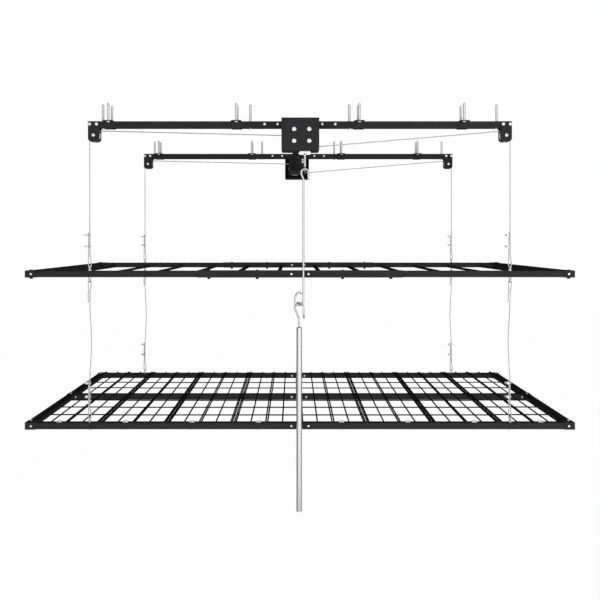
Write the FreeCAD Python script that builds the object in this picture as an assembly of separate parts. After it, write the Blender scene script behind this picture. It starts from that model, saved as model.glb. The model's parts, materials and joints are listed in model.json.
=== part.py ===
import FreeCAD, Part
import math
import os

# Ceiling hoist with two storage decks.  Millimetres, +Z up, +X to the right seen from the front (-Y).
# Origin: middle of the ceiling plane, where the tops of the two ceiling rails bear.

# ---- overall sizes -------------------------------------------------------------------------
deck_length = 2438.4          # across both decks, over the corner brackets
deck_depth = 1219.2           # front to back, over the corner brackets
upper_deck_drop = 663.0       # ceiling to the top of the upper deck's beams
lower_deck_drop = 1337.0      # ceiling to the top of the lower deck's beams

# ---- deck frames ---------------------------------------------------------------------------
beam = 28.6                   # square deck tube
beam_wall = 1.5
socket_wall = 1.5             # corner brackets, tees and the upper deck's sleeves
corner_reach = 14.4           # each arm of a corner bracket, past the other socket
tee_length = 50.0
tee_arm = 30.0
sleeve_half = 456.0           # outer sleeve over the joint of an upper long beam
splice_half = 80.0            # inner splice in the joint of a lower long beam
joint_gap = 1.0               # between the two halves of a long tube
slat_width = 18.0
slat_height = 11.0
slat_wall = 1.5
slat_pitch = 203.2

# ---- deck fasteners ------------------------------------------------------------------------
screw_r = 2.5
screw_head_r = 5.5
screw_head_h = 3.0
screw_length = 14.0
joint_screw_x = 38.0          # screws either side of a long beam's joint
corner_screw_inset = 27.0
corner_bolt_inset = 4.9       # bolt's middle, in from the long beam's inner face
tee_screw_inset = 15.0
sleeve_bolt_x = (190.0, 405.0)
frame_bolt_r = 3.0
frame_bolt_head_r = 6.0
frame_bolt_head_h = 3.0
frame_nut_flats = 13.0
nut_h = 6.5

# ---- wire deck -----------------------------------------------------------------------------
panel_count = 8
panel_gap = 2.0
panel_end_gap = 8.3           # beside the end panels' outer edge lines, to the side beams
long_wire = 6.0
cross_wire = 5.0
weld_sink = 0.6               # how far crossing wires are pressed into each other
wire_pair = 9.0               # spacing of the pair along a panel's middle
edge_pair = 7.5               # spacing of the pair along a panel's edge
cross_pitch = 152.4
wire_end_inset = 6.0          # wire ends, in from the beam's outer face
clip_width = 22.0
clip_foot = 12.0
clip_step = 3.0               # height of the clip's inner edge over its foot
clip_sheet = 1.6
clip_screw_gap = 7.0
clip_screw_r = 2.0
eye_clearance = 2.0           # between a clip and an eyebolt

# ---- ceiling rails -------------------------------------------------------------------------
rail_half = 939.0
rail = 30.0
rail_wall = 2.0
rail_splice_half = 175.0
rail_joint_bolt_x = (98.3, 156.4)
rail_bolt_drop = 13.0         # bolt line below the ceiling plane
rail_bolt_r = 3.0
rail_bolt_head_r = 6.5
rail_bolt_head_h = 3.5
clamp_x = (-845.0, -281.0, 262.0, 724.0)
clamp_width = 45.0
clamp_sheet = 2.5
clamp_flange = 33.0
lag_offset = 33.0             # lag screw from the rail's middle line
lag_r = 4.5                   # over the thread
lag_neck_r = 4.2              # plain neck below the ceiling plane
lag_rise = 78.0               # how far a lag screw stands above the ceiling plane
lag_head_flats = 14.0
lag_head_h = 5.5
rail_lag_x = (220.0, 876.0)
hole_clearance = 0.4

# ---- end pulleys ---------------------------------------------------------------------------
bracket_width = 51.0
bracket_below_axle = 28.0
bracket_sheet = 2.5
bracket_corner_r = 15.0
bracket_bolt_inset = (7.5, 38.5)
bracket_bolt_r = 4.0
bracket_bolt_head_r = 8.0
bracket_bolt_head_h = 5.0
axle_inset = 24.5
axle_below_rail = 32.0
axle_r = 5.0
pulley_pitch_r = 21.0         # to the middle of the rope
pulley_rim_r = 26.0
pulley_width = 14.0
bush_wall = 2.5
running_gap = 0.05            # radial, shafts in bushes

# ---- rope ----------------------------------------------------------------------------------
rope_r = 2.4
body_gap = 0.3                # between curved faces of parts that move against each other
eye_ring_r = 8.0              # rope eyes on the decks, to the middle of the bar
eye_bar_r = 3.0
eye_shank_r = 4.0
eye_seat_r = 7.5
eye_seat_h = 5.0
loop_r = 6.5                  # rope's bend round an eye
strand_play = 0.2             # between the two strands above a loop
hoist_clip_drop = (505.0, 555.0)
hang_clip_drop = (1163.0, 1224.0)
drop_end = 490.0              # the hoist ropes' free drop ends here, just above the clips
clip_bar_r = 2.2
clip_block = 8.0
clip_block_h = 10.0
clip_nut = 5.0
ferrule_length = 40.0
ferrule_wall = 1.2            # beyond the ropes
hang_bow = 8.0                # sideways bow of the slack between the decks

# ---- winch ---------------------------------------------------------------------------------
box_sheet = 2.0
box_depth = 97.2              # out from the rail's outer face
box_corner_r = 6.0
front_box_x = (-80.5, 82.5)
front_box_height = 141.0
rear_box_x = (-80.0, 66.0)
rear_box_height = 148.0
drum_x = -19.0
drum_drop = 91.0
drum_pitch_r = 28.65          # to the middle of the rope: 180 mm of rope a turn
drum_flange_r = 38.0
drum_flange = 3.0
drum_turns = 7
shaft_r = 9.0
drive_tube_r = 15.0
drive_tube_wall = 2.0
tube_plug = 30.0              # how far a shaft reaches into the drive tube
drum_pin_r = 2.5
hanger_x = (-54.0, 43.0)
hanger_sheet = 4.0
hanger_bottom = 130.0
hanger_gap = 5.0              # between the drum and its hanger plate
cleat_x = 27.0
cleat_width = 20.0
cleat_sheet = 3.0
cleat_screw_drop = (41.0, 54.0)

# ---- worm gear -----------------------------------------------------------------------------
module = 3.0
wheel_teeth = 20
worm_pitch_r = 10.0
wheel_width = 14.0
tooth_thickness = 3.9         # at the pitch line
thread_thickness = 3.7
flank = math.radians(20.0)
worm_turns = 4.0
gear_y_out = 36.0             # gear plane, in from the face of the front box
case_x = (-62.0, 52.0)
case_z = (-136.0, -42.0)
case_lid = 6.0
case_gap = 1.5
case_bolt_x = (-25.8, 39.1)
case_bolt_z = (-50.0, -100.5)
case_bolt_head_r = 10.5
case_bolt_r = 4.0
case_bolt_reach = 5.5          # into the case's front wall
case_front_wall = 6.0
input_flange = 48.0
input_flange_h = 12.0
worm_journal_r = 6.0
input_r = 4.5

# ---- crank ---------------------------------------------------------------------------------
crank_ring_r = 8.25           # eye under the winch, to the middle of the bar
crank_bar_r = 2.75
crank_stem = 1.5              # how far the shaft's foot reaches into the eye
rod_r = 4.5
hook_r = 15.7                 # rod hook, to the middle of the bar
hook_leg = 34.0
rod_offset = 6.3              # rod, to the left of the input shaft
rod_shoulder = 23.0           # height in which the hook narrows to the rod
loop_half_width = 20.5        # loop at the rod's foot, to the middle of the bar
loop_height = 55.0
loop_drop = 809.0             # ceiling to the middle of the loop's lowest bar
loop_turn = math.radians(25.0)
loop_open = math.radians(58.0)
pole_hook_bar_r = 4.25
pole_hook_r = 20.5
pole_hook_leg = 46.0
pole_play = 0.8               # between the crowns of the two bars where the pole hangs
pole_neck = 28.0
pole_shank = 34.0
pole_r = 12.5
pole_wall = 1.5
pole_foot_drop = 1701.0

# ---- places that follow from the sizes above -----------------------------------------------
rope_y = deck_depth / 2 - socket_wall - beam / 2          # rails, pulleys, long beams, eyes
side_x = deck_length / 2 - socket_wall - beam / 2         # side beams' middle line
beam_out_y = rope_y + beam / 2
beam_in_y = rope_y - beam / 2
side_in_x = side_x - beam / 2
socket = beam + 2 * socket_wall
corner_arm = socket + corner_reach
corner_bolt_y = beam_in_y - corner_bolt_inset
axle_drop = rail + axle_below_rail
bracket_height = axle_drop + bracket_below_axle
strand_gap = 2 * rope_r + strand_play                     # between the strands' middles
rail_out_y = rope_y + rail / 2
rail_in_y = rope_y - rail / 2
pulley_x = rail_half - axle_inset
eye_x = pulley_x + pulley_pitch_r
box_face_y = rail_out_y + box_depth
core_r = drum_pitch_r - rope_r
exit_offset = rope_r + 0.1                                # rope leaving the drum, from its middle
winding_start = exit_offset + rope_r + body_gap
drum_inner_half = winding_start + drum_turns * 2 * rope_r + 0.4
drum_half = drum_inner_half + drum_flange
hanger_y = rope_y - drum_half - hanger_gap                # outer face of the hanger plate
gear_y = -(box_face_y - gear_y_out)
wheel_pitch_r = module * wheel_teeth / 2
input_x = drum_x + wheel_pitch_r + worm_pitch_r
lead = math.pi * module
drum_z = -drum_drop
crank_z = -(front_box_height + input_flange_h + 64.1)     # middle of the crank eye
deck_tops = {"upper": -upper_deck_drop, "lower": -lower_deck_drop}


# ---- small tools ---------------------------------------------------------------------------
def V(x, y, z):
    return FreeCAD.Vector(x, y, z)


AXES = {"x": V(1, 0, 0), "y": V(0, 1, 0), "z": V(0, 0, 1)}


def block(x, y, z):
    """A box between two limits on each axis."""
    return Part.makeBox(x[1] - x[0], y[1] - y[0], z[1] - z[0], V(x[0], y[0], z[0]))


def rod(axis, start, end, radius, at):
    """A cylinder along an axis, from start to end; at holds its other two coordinates."""
    places = {"x": V(start, *at), "y": V(at[0], start, at[1]), "z": V(at[0], at[1], start)}
    return Part.makeCylinder(radius, end - start, places[axis], AXES[axis])


def pipe(axis, start, end, outer, inner, at):
    return rod(axis, start, end, outer, at).cut(rod(axis, start, end, inner, at))


def square_tube(axis, start, end, size, wall, at):
    """A square tube along X or Y; at holds the middle of its section."""
    half, inner = size / 2, size / 2 - wall
    shells = []
    for h in (half, inner):
        if axis == "x":
            shells.append(block((start, end), (at[0] - h, at[0] + h), (at[1] - h, at[1] + h)))
        else:
            shells.append(block((at[0] - h, at[0] + h), (start, end), (at[1] - h, at[1] + h)))
    return shells[0].cut(shells[1])


def hexagon(axis, start, end, flats, at):
    """A hexagonal bar along Y or Z."""
    r = flats / math.sqrt(3)
    corners = [(r * math.cos(math.radians(60 * i)), r * math.sin(math.radians(60 * i))) for i in range(7)]
    if axis == "z":
        points = [V(at[0] + a, at[1] + b, start) for a, b in corners]
    else:
        points = [V(at[0] + a, start, at[1] + b) for a, b in corners]
    return Part.Face(Part.makePolygon(points)).extrude(AXES[axis] * (end - start))


def fused(shapes):
    return shapes[0].multiFuse(shapes[1:]).removeSplitter()


def cut_all(shape, tools):
    return shape.cut(Part.makeCompound(tools)) if tools else shape


def moved(shape, x=0.0, y=0.0, z=0.0):
    copy = shape.copy()
    copy.translate(V(x, y, z))
    return copy


def flipped(shape, axis):
    """The mirror image across the plane through the origin normal to an axis."""
    return shape.mirror(V(0, 0, 0), AXES[axis])


def both_ways(shape, axis):
    return [shape, flipped(shape, axis)]


def turned(points, profile_axis, at):
    """A solid of revolution about Y through at; points are (distance along Y, radius)."""
    line = [V(at[0] + r, y, at[1]) for y, r in points]
    face = Part.Face(Part.makePolygon(line + line[:1]))
    return face.revolve(V(at[0], 0, at[1]), profile_axis, 360)


def bent_path(corners):
    """Straight runs joined by tangent arcs; corners are (point, radius of the bend there)."""
    edges = []
    here = corners[0][0]
    for i in range(1, len(corners) - 1):
        corner, radius = corners[i]
        to_last = (corners[i - 1][0] - corner).normalize()
        to_next = (corners[i + 1][0] - corner).normalize()
        half_turn = (math.pi - to_last.getAngle(to_next)) / 2
        if half_turn < 1e-6:
            continue
        reach = radius * math.tan(half_turn)
        start = corner + to_last * reach
        end = corner + to_next * reach
        inward = (to_last + to_next).normalize()
        centre = corner + inward * (radius / math.cos(half_turn))
        middle = centre - inward * radius
        if (start - here).Length > 1e-6:
            edges.append(Part.LineSegment(here, start).toShape())
        edges.append(Part.Arc(start, middle, end).toShape())
        here = end
    if (corners[-1][0] - here).Length > 1e-6:
        edges.append(Part.LineSegment(here, corners[-1][0]).toShape())
    return Part.Wire(edges)


def bar_along(path, radius):
    """A round bar swept along a wire."""
    first = path.Edges[0]
    start = first.valueAt(first.FirstParameter)
    direction = first.tangentAt(first.FirstParameter)
    profile = Part.Wire(Part.makeCircle(radius, start, direction))
    return path.makePipeShell([profile], True, True)


nodes = {}


def keep(name, *shapes):
    """Adds solids to a node."""
    for shape in shapes:
        nodes.setdefault(name, []).extend(shape.Solids)


def save_all():
    os.makedirs("parts", exist_ok=True)
    for name, solids in nodes.items():
        Part.makeCompound(solids).exportStep("parts/" + name + ".step")
        volume = sum(s.Volume for s in solids)
        sound = all(s.isValid() for s in solids)
        print(f"{name}: {len(solids)} solids, {volume / 1000:.1f} cm3, valid {sound}")


# ---- ceiling rails and what holds them -----------------------------------------------------
def rails():
    rail_z = -rail / 2
    bolt_z = -rail_bolt_drop
    for side, y in (("front", -rope_y), ("rear", rope_y)):
        holes = [rod("y", y - rail, y + rail, rail_bolt_r + hole_clearance, (s * x, bolt_z))
                 for x in rail_joint_bolt_x for s in (-1, 1)]
        bolt_bore_r = bracket_bolt_r + hole_clearance
        holes += [rod("y", y - rail, y + rail, bolt_bore_r, (s * (rail_half - x), bolt_z))
                  for x in bracket_bolt_inset for s in (-1, 1)]
        holes += [rod("z", -rail - 1, 1, lag_r + hole_clearance, (s * x, y))
                  for x in rail_lag_x for s in (-1, 1)]
        halves = [square_tube("x", a, b, rail, rail_wall, (y, rail_z))
                  for a, b in ((-rail_half, -joint_gap / 2), (joint_gap / 2, rail_half))]
        keep(side + "_rail", *[cut_all(half, holes) for half in halves])
        inside = rail - 2 * rail_wall
        splice = square_tube("x", -rail_splice_half, rail_splice_half, inside, rail_wall, (y, rail_z))
        keep("rail_splices", cut_all(splice, holes))
        for x in rail_joint_bolt_x:
            for s in (-1, 1):
                keep("rail_joint_bolts", through_bolt(s * x, y, bolt_z, rail / 2, rail_bolt_r,
                                                      rail_bolt_head_r, rail_bolt_head_h))


def through_bolt(x, y, z, half_grip, radius, head_r, head_h):
    """A bolt along Y through a rail: round head in front, hexagon nut behind."""
    front, back = y - half_grip, y + half_grip
    head = rod("y", front - head_h, front, head_r, (x, z))
    head = head.makeFillet(head_h * 0.45, [e for e in head.Edges if e.CenterOfMass.y < front - head_h / 2
                                           and e.Closed])
    shank = rod("y", front, back + nut_h + 1.5, radius, (x, z))
    nut = hexagon("y", back, back + nut_h, radius * 3.4, (x, z))
    return fused([head, shank, nut])


def saddle_clamp(x, y):
    """A hat-shaped strap under a rail, its flanges flat on the ceiling."""
    inside = rail / 2
    outside = inside + clamp_sheet
    wing = inside + clamp_flange
    profile = [(-wing, 0), (-inside, 0), (-inside, -rail), (inside, -rail), (inside, 0), (wing, 0),
               (wing, -clamp_sheet), (outside, -clamp_sheet), (outside, -rail - clamp_sheet),
               (-outside, -rail - clamp_sheet), (-outside, -clamp_sheet), (-wing, -clamp_sheet)]
    points = [V(x - clamp_width / 2, y + a, b) for a, b in profile]
    strap = Part.Face(Part.makePolygon(points + points[:1])).extrude(V(clamp_width, 0, 0))
    holes = [rod("z", -clamp_sheet - 1, 1, lag_r + hole_clearance, (x, y + s * lag_offset))
             for s in (-1, 1)]
    return cut_all(strap, holes)


def lag_screw(x, y, seat_z):
    """A hexagon-headed wood screw, its head pulled up against seat_z; the thread starts at the ceiling."""
    head = hexagon("z", seat_z - lag_head_h, seat_z, lag_head_flats, (x, y))
    tip = 2.2 * lag_r
    neck = rod("z", seat_z, 0, lag_neck_r, (x, y))
    thread = rod("z", 0, lag_rise - tip, lag_r, (x, y))
    point = Part.makeCone(lag_r, 0.6, tip, V(x, y, lag_rise - tip))
    return fused([head, neck, thread, point])


def ceiling_fixings():
    for y in (-rope_y, rope_y):
        for x in clamp_x:
            keep("saddle_clamps", saddle_clamp(x, y))
            for s in (-1, 1):
                keep("lag_screws", lag_screw(x, y + s * lag_offset, -clamp_sheet))
        for x in rail_lag_x:
            for s in (-1, 1):
                keep("lag_screws", lag_screw(s * x, y, -rail))


# ---- end pulleys ---------------------------------------------------------------------------
def bracket_plate(y_inner):
    """One cheek at the right-hand rail end; y_inner is the face against the rail."""
    x0, x1 = rail_half - bracket_width, rail_half
    plate = block((x0, x1), (y_inner, y_inner + bracket_sheet), (-bracket_height, 0))
    lower = [e for e in plate.Edges
             if e.Length < bracket_sheet * 1.01 and e.CenterOfMass.z < -bracket_height / 2]
    plate = plate.makeFillet(bracket_corner_r, lower)
    holes = [rod("y", y_inner - 1, y_inner + bracket_sheet + 1, bracket_bolt_r + hole_clearance,
                 (rail_half - x, -rail_bolt_drop)) for x in bracket_bolt_inset]
    holes.append(rod("y", y_inner - 1, y_inner + bracket_sheet + 1, axle_r, (pulley_x, -axle_drop)))
    return cut_all(plate, holes)


def sheave(x, y):
    """A grooved rope wheel with its bush, turning about Y."""
    bush_r = axle_r + running_gap + bush_wall
    groove_r = rope_r + body_gap
    half = pulley_width / 2
    lip = 1.6
    slope = pulley_pitch_r - groove_r * 0.5
    points = [(y - half, bush_r), (y - half, pulley_rim_r), (y - half + lip, pulley_rim_r),
              (y - groove_r * 0.866, slope), (y + groove_r * 0.866, slope),
              (y + half - lip, pulley_rim_r), (y + half, pulley_rim_r), (y + half, bush_r)]
    wheel = turned(points, V(0, 1, 0), (x, -axle_drop))
    groove = Part.makeTorus(pulley_pitch_r, groove_r, V(x, y, -axle_drop), V(0, 1, 0))
    wheel = wheel.cut(groove)
    bush = pipe("y", y - half - 0.5, y + half + 0.5, bush_r, axle_r + running_gap, (x, -axle_drop))
    return wheel, bush


def end_pulleys():
    for side, y in (("front", -rope_y), ("rear", rope_y)):
        for hand, s in (("left", -1), ("right", 1)):
            for y_inner in (y + rail / 2, y - rail / 2 - bracket_sheet):
                plate = bracket_plate(y_inner)
                keep("pulley_brackets", plate if s > 0 else flipped(plate, "x"))
            grip = rail / 2 + bracket_sheet
            for x in bracket_bolt_inset:
                keep("bracket_bolts", through_bolt(s * (rail_half - x), y, -rail_bolt_drop, grip,
                                                   bracket_bolt_r, bracket_bolt_head_r, bracket_bolt_head_h))
            keep("pulley_axles", through_bolt(s * pulley_x, y, -axle_drop, grip,
                                              axle_r, bracket_bolt_head_r, bracket_bolt_head_h))
            spacer_inner = pulley_width / 2 + 0.5 + body_gap
            for a, b in ((y - rail / 2, y - spacer_inner), (y + spacer_inner, y + rail / 2)):
                keep("axle_spacers", pipe("y", a, b, axle_r + 3.0, axle_r, (s * pulley_x, -axle_drop)))
            keep(side + "_" + hand + "_pulley", *sheave(s * pulley_x, y))


# ---- winch casing --------------------------------------------------------------------------
def winch_box(x, height):
    """A folded sheet box, open towards the rail; built at the front."""
    out, inn = -box_face_y, -rail_out_y
    shell = block(x, (out, inn), (-height, 0))
    lower = [e for e in shell.Edges if abs(e.Length - box_depth) < 0.01 and e.CenterOfMass.z < -height / 2]
    shell = shell.makeFillet(box_corner_r, lower)
    room = block((x[0] + box_sheet, x[1] - box_sheet), (out + box_sheet, inn + 1),
                 (-height + box_sheet, -box_sheet))
    lower = [e for e in room.Edges if abs(e.Length - box_depth + box_sheet - 1) < 0.01
             and e.CenterOfMass.z < -height / 2]
    return shell.cut(room.makeFillet(box_corner_r - box_sheet, lower))


def gear_case():
    """Cast case for the worm and wheel, its lid towards the rail."""
    front = -box_face_y + box_sheet
    back = gear_y + worm_pitch_r + module + case_gap
    wheel_room = wheel_pitch_r + module + case_gap
    worm_room = worm_pitch_r + module + case_gap
    half = worm_turns * lead / 2 + 1.0
    body = block(case_x, (front, back), case_z)
    room = [rod("y", gear_y - wheel_width / 2 - case_gap, back + 1, wheel_room, (drum_x, drum_z)),
            rod("z", drum_z - half, drum_z + half, worm_room, (input_x, gear_y)),
            block((input_x - worm_room, input_x + worm_room), (gear_y, back + 1),
                  (drum_z - half, drum_z + half))]
    seat = shaft_r + bush_wall
    room.append(rod("y", front + case_front_wall, back, seat, (drum_x, drum_z)))
    journal = worm_journal_r + bush_wall
    room.append(rod("z", case_z[0] - 1, case_z[1] - 4, journal, (input_x, gear_y)))
    room += [rod("y", front - 1, front + case_bolt_reach, case_bolt_r, (x, z))
             for x in case_bolt_x for z in case_bolt_z]
    keep("gear_case", cut_all(body, room))
    lid = block(case_x, (back, back + case_lid), case_z)
    keep("gear_case", lid.cut(rod("y", back - 1, back + case_lid + 1, seat, (drum_x, drum_z))))
    keep("winch_bushes",
         pipe("y", front + case_front_wall, gear_y - wheel_width / 2 - case_gap,
              seat, shaft_r + running_gap, (drum_x, drum_z)),
         pipe("y", back, back + case_lid, seat, shaft_r + running_gap, (drum_x, drum_z)))
    keep("winch_bushes",
         pipe("z", case_z[0], drum_z - half, journal, worm_journal_r + running_gap, (input_x, gear_y)),
         pipe("z", drum_z + half, case_z[1] - 4, journal, worm_journal_r + running_gap, (input_x, gear_y)))


def winch_casings():
    front_box = winch_box(front_box_x, front_box_height)
    neck = rod("z", -front_box_height - 1, -front_box_height + box_sheet + 1,
               worm_journal_r + 2.0, (input_x, gear_y))
    bore_r = case_bolt_r + hole_clearance
    bolt_holes = [rod("y", -box_face_y - 1, -box_face_y + box_sheet + 1, bore_r, (x, z))
                  for x in case_bolt_x for z in case_bolt_z]
    keep("front_winch_box", cut_all(front_box, [neck] + bolt_holes))
    keep("rear_winch_box", flipped(winch_box(rear_box_x, rear_box_height), "y"))
    gear_case()
    gear_case_bolts()
    half = input_flange / 2
    flange = block((input_x - half, input_x + half), (gear_y - half, gear_y + half),
                   (-front_box_height - input_flange_h, -front_box_height))
    keep("input_flange", flange.cut(rod("z", -front_box_height - input_flange_h - 1, -front_box_height + 1,
                                        worm_journal_r + running_gap, (input_x, gear_y))))


def gear_case_bolts():
    """Button heads on the front box, each with a hexagon socket."""
    for x in case_bolt_x:
        for z in case_bolt_z:
            head = rod("y", -box_face_y - 6.0, -box_face_y, case_bolt_head_r, (x, z))
            rim = [e for e in head.Edges if e.Closed and e.CenterOfMass.y < -box_face_y - 3.0]
            socket_hole = hexagon("y", -box_face_y - 7.0, -box_face_y - 3.0, 7.0, (x, z))
            head = head.makeFillet(2.5, rim).cut(socket_hole)
            shank = rod("y", -box_face_y - 1.0, -box_face_y + box_sheet + case_bolt_reach,
                        case_bolt_r, (x, z))
            keep("gear_case_bolts", fused([head, shank]))


# ---- drum hangers and bearings -------------------------------------------------------------
def drum_hangers():
    """Plates that carry the inner ends of the drum shafts, hung from the rails on cleats."""
    seat = shaft_r + bush_wall
    top = -rail - cleat_sheet
    pieces = {"hanger_plates": [], "hanger_cleats": [], "hanger_screws": [], "winch_bushes": []}
    plate = block(hanger_x, (-hanger_y, -hanger_y + hanger_sheet), (-hanger_bottom, top))
    screws = [rod("y", -hanger_y - cleat_sheet, -hanger_y + hanger_sheet + 1, screw_r, (s * cleat_x, -z))
              for s in (-1, 1) for z in cleat_screw_drop]
    bore = rod("y", -hanger_y - 1, -hanger_y + hanger_sheet + 1, seat, (drum_x, drum_z))
    pieces["hanger_plates"].append(cut_all(plate, screws + [bore]))
    for s in (-1, 1):
        x = (s * cleat_x - cleat_width / 2, s * cleat_x + cleat_width / 2)
        hanging = block(x, (-hanger_y - cleat_sheet, -hanger_y), (top - 29.0, -rail))
        lying = block(x, (-rail_in_y - 22.0, -hanger_y), (-rail - cleat_sheet, -rail))
        up = rod("z", -rail - cleat_sheet - 1, -rail + 1, screw_r, (s * cleat_x, -rail_in_y - 12.0))
        pieces["hanger_cleats"].append(cut_all(fused([hanging, lying]), screws + [up]))
        head = rod("z", -rail - cleat_sheet - screw_head_h, -rail - cleat_sheet, screw_head_r,
                   (s * cleat_x, -rail_in_y - 12.0))
        shank = rod("z", -rail - cleat_sheet, -rail, screw_r, (s * cleat_x, -rail_in_y - 12.0))
        pieces["hanger_screws"].append(fused([head, shank]))
        for z in cleat_screw_drop:
            head = rod("y", -hanger_y + hanger_sheet, -hanger_y + hanger_sheet + screw_head_h, screw_head_r,
                       (s * cleat_x, -z))
            shank = rod("y", -hanger_y - cleat_sheet, -hanger_y + hanger_sheet, screw_r, (s * cleat_x, -z))
            pieces["hanger_screws"].append(fused([head, shank]))
    pieces["winch_bushes"].append(pipe("y", -hanger_y, -hanger_y + hanger_sheet, seat,
                                       shaft_r + running_gap, (drum_x, drum_z)))
    for name, shapes in pieces.items():
        for shape in shapes:
            keep(name, *both_ways(shape, "y"))


def rear_bearing():
    """Bearing block inside the rear box's outer wall."""
    wall = box_face_y - box_sheet
    body = block((drum_x - 24, drum_x + 24), (wall - 14, wall), (drum_z - 24, drum_z + 24))
    upright = [e for e in body.Edges if abs(e.Length - 14) < 0.01]
    body = body.makeFillet(8.0, upright)
    keep("rear_bearing", body.cut(rod("y", wall - 15, wall - 4, shaft_r + running_gap, (drum_x, drum_z))))


# ---- drums, drive shaft and worm gear ------------------------------------------------------
def drum():
    """Flanged rope drum at the front."""
    half, inner = drum_half, drum_inner_half
    hollow_r = core_r - 4.0
    points = [(-rope_y - half, shaft_r), (-rope_y - half, drum_flange_r),
              (-rope_y - inner, drum_flange_r), (-rope_y - inner, core_r),
              (-rope_y + inner, core_r), (-rope_y + inner, drum_flange_r),
              (-rope_y + half, drum_flange_r), (-rope_y + half, shaft_r)]
    body = turned(points, V(0, 1, 0), (drum_x, drum_z))
    recess = pipe("y", -rope_y - half - 1, -rope_y - half + 24, hollow_r, shaft_r + 6.0, (drum_x, drum_z))
    pin = rod("z", drum_z - shaft_r - 6.5, drum_z + shaft_r + 6.5, drum_pin_r,
              (drum_x, -rope_y - half + 12))
    return body.cut(recess).cut(pin), pin


def winding(start):
    """Rope turns beside each other, as one ribbed sleeve; start is the turns' edge nearest the middle."""
    centres = [V(drum_x, start + (2 * i + 1) * rope_r, drum_z) for i in range(drum_turns)]
    turns = [Part.makeTorus(drum_pitch_r, rope_r, centre, V(0, 1, 0)) for centre in centres]
    base = pipe("y", start + rope_r * 0.3, start + (2 * drum_turns - 0.3) * rope_r,
                drum_pitch_r + rope_r * 0.3, core_r, (drum_x, drum_z))
    return fused([base] + turns)


def shaft_and_drums():
    body, pin = drum()
    keep("front_drum", body)
    keep("rear_drum", flipped(body, "y"))
    keep("drum_pins", *both_ways(pin, "y"))
    for y in (-rope_y, rope_y):
        for start in (y + winding_start, y - winding_start - 2 * drum_turns * rope_r):
            keep("rope_windings", winding(start))
    tube_end = hanger_y - hanger_sheet - body_gap
    inner_r = drive_tube_r - drive_tube_wall
    keep("drive_tube", pipe("y", -tube_end, tube_end, drive_tube_r, inner_r, (drum_x, drum_z)))
    journal = rod("y", -box_face_y + box_sheet + 7.0, -tube_end, shaft_r, (drum_x, drum_z))
    plug = rod("y", -tube_end, -tube_end + tube_plug, inner_r, (drum_x, drum_z))
    keep("drum_shafts", fused([journal, plug]).cut(pin))
    journal = rod("y", tube_end, box_face_y - box_sheet - 5.0, shaft_r, (drum_x, drum_z))
    plug = rod("y", tube_end - tube_plug, tube_end, inner_r, (drum_x, drum_z))
    keep("drum_shafts", fused([journal, plug]).cut(flipped(pin, "y")))


def worm_wheel():
    """Wheel with slanted teeth, a tooth space facing the worm at rest."""
    root_r = wheel_pitch_r - 1.25 * module
    tip_r = wheel_pitch_r + module
    pitch = 2 * math.pi / wheel_teeth
    twist = lead / (2 * math.pi * worm_pitch_r) / wheel_pitch_r

    def section(y):
        points = []
        for i in range(wheel_teeth):
            middle = (i + 0.5) * pitch - twist * (y - gear_y)
            for r, sign in ((root_r, -1), (tip_r, -1), (tip_r, 1), (root_r, 1)):
                half = tooth_thickness / 2 - (r - wheel_pitch_r) * math.tan(flank)
                a = middle + sign * half / r
                points.append(V(drum_x + r * math.cos(a), y, drum_z + r * math.sin(a)))
        return Part.makePolygon(points + points[:1])

    ends = [section(gear_y - wheel_width / 2), section(gear_y + wheel_width / 2)]
    gear = Part.makeLoft(ends, True, True)
    hub = rod("y", gear_y - wheel_width / 2, gear_y + wheel_width / 2, shaft_r, (drum_x, drum_z))
    return gear.cut(hub)


def worm_shaft():
    """Worm with a right-hand thread and its journals."""
    root_r = worm_pitch_r - 1.25 * module
    tip_r = worm_pitch_r + module
    half = worm_turns * lead / 2
    base = drum_z - half

    def half_width(r):
        return thread_thickness / 2 - (r - worm_pitch_r) * math.tan(flank)

    sunk_r = root_r - 0.4
    corners = [(sunk_r, -half_width(root_r)), (tip_r, -half_width(tip_r)),
               (tip_r, half_width(tip_r)), (sunk_r, half_width(root_r))]
    # the helix starts at angle 0 at the height that puts a thread on the wheel's side level with its middle
    thread_start = base + half_width(root_r)
    thread_height = 2 * half - 2 * half_width(root_r)
    helix = Part.makeHelix(lead, thread_height, worm_pitch_r)
    points = [V(r, 0, z) for r, z in corners]
    profile = Part.makePolygon(points + points[:1])
    thread = Part.Wire(helix).makePipeShell([profile], True, True)
    phase = 180.0 - math.degrees((drum_z - thread_start) / lead * 2 * math.pi)
    thread.rotate(V(0, 0, 0), V(0, 0, 1), phase)
    thread.translate(V(input_x, gear_y, thread_start))
    core = rod("z", base, base + 2 * half, root_r, (input_x, gear_y))
    journal_top = rod("z", base + 2 * half, case_z[1] - 5, worm_journal_r, (input_x, gear_y))
    journal_bottom = rod("z", -front_box_height - input_flange_h, base, worm_journal_r, (input_x, gear_y))
    return fused([core, thread, journal_top, journal_bottom])


def worm_gear():
    keep("worm_wheel", worm_wheel())
    keep("worm_shaft", worm_shaft())


# ---- hoist ropes ---------------------------------------------------------------------------
def tangent_points(start_r, start_side, end_centre, end_r):
    """Where a straight run touches a circle round the origin and one round end_centre.

    Both are in a plane (u, z); the run passes over the end circle, and over (+1) or under (-1) the first.
    """
    distance = math.hypot(*end_centre)
    heading = math.atan2(end_centre[1], end_centre[0])
    offset = math.asin((start_side * start_r - end_r) / distance)
    angle = heading + offset if end_centre[0] < 0 else heading - offset
    normal = angle - math.pi / 2 if end_centre[0] < 0 else angle + math.pi / 2
    n = (math.cos(normal), math.sin(normal))
    first = (start_side * start_r * n[0], start_side * start_r * n[1])
    last = (end_centre[0] + end_r * n[0], end_centre[1] + end_r * n[1])
    return first, last


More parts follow.
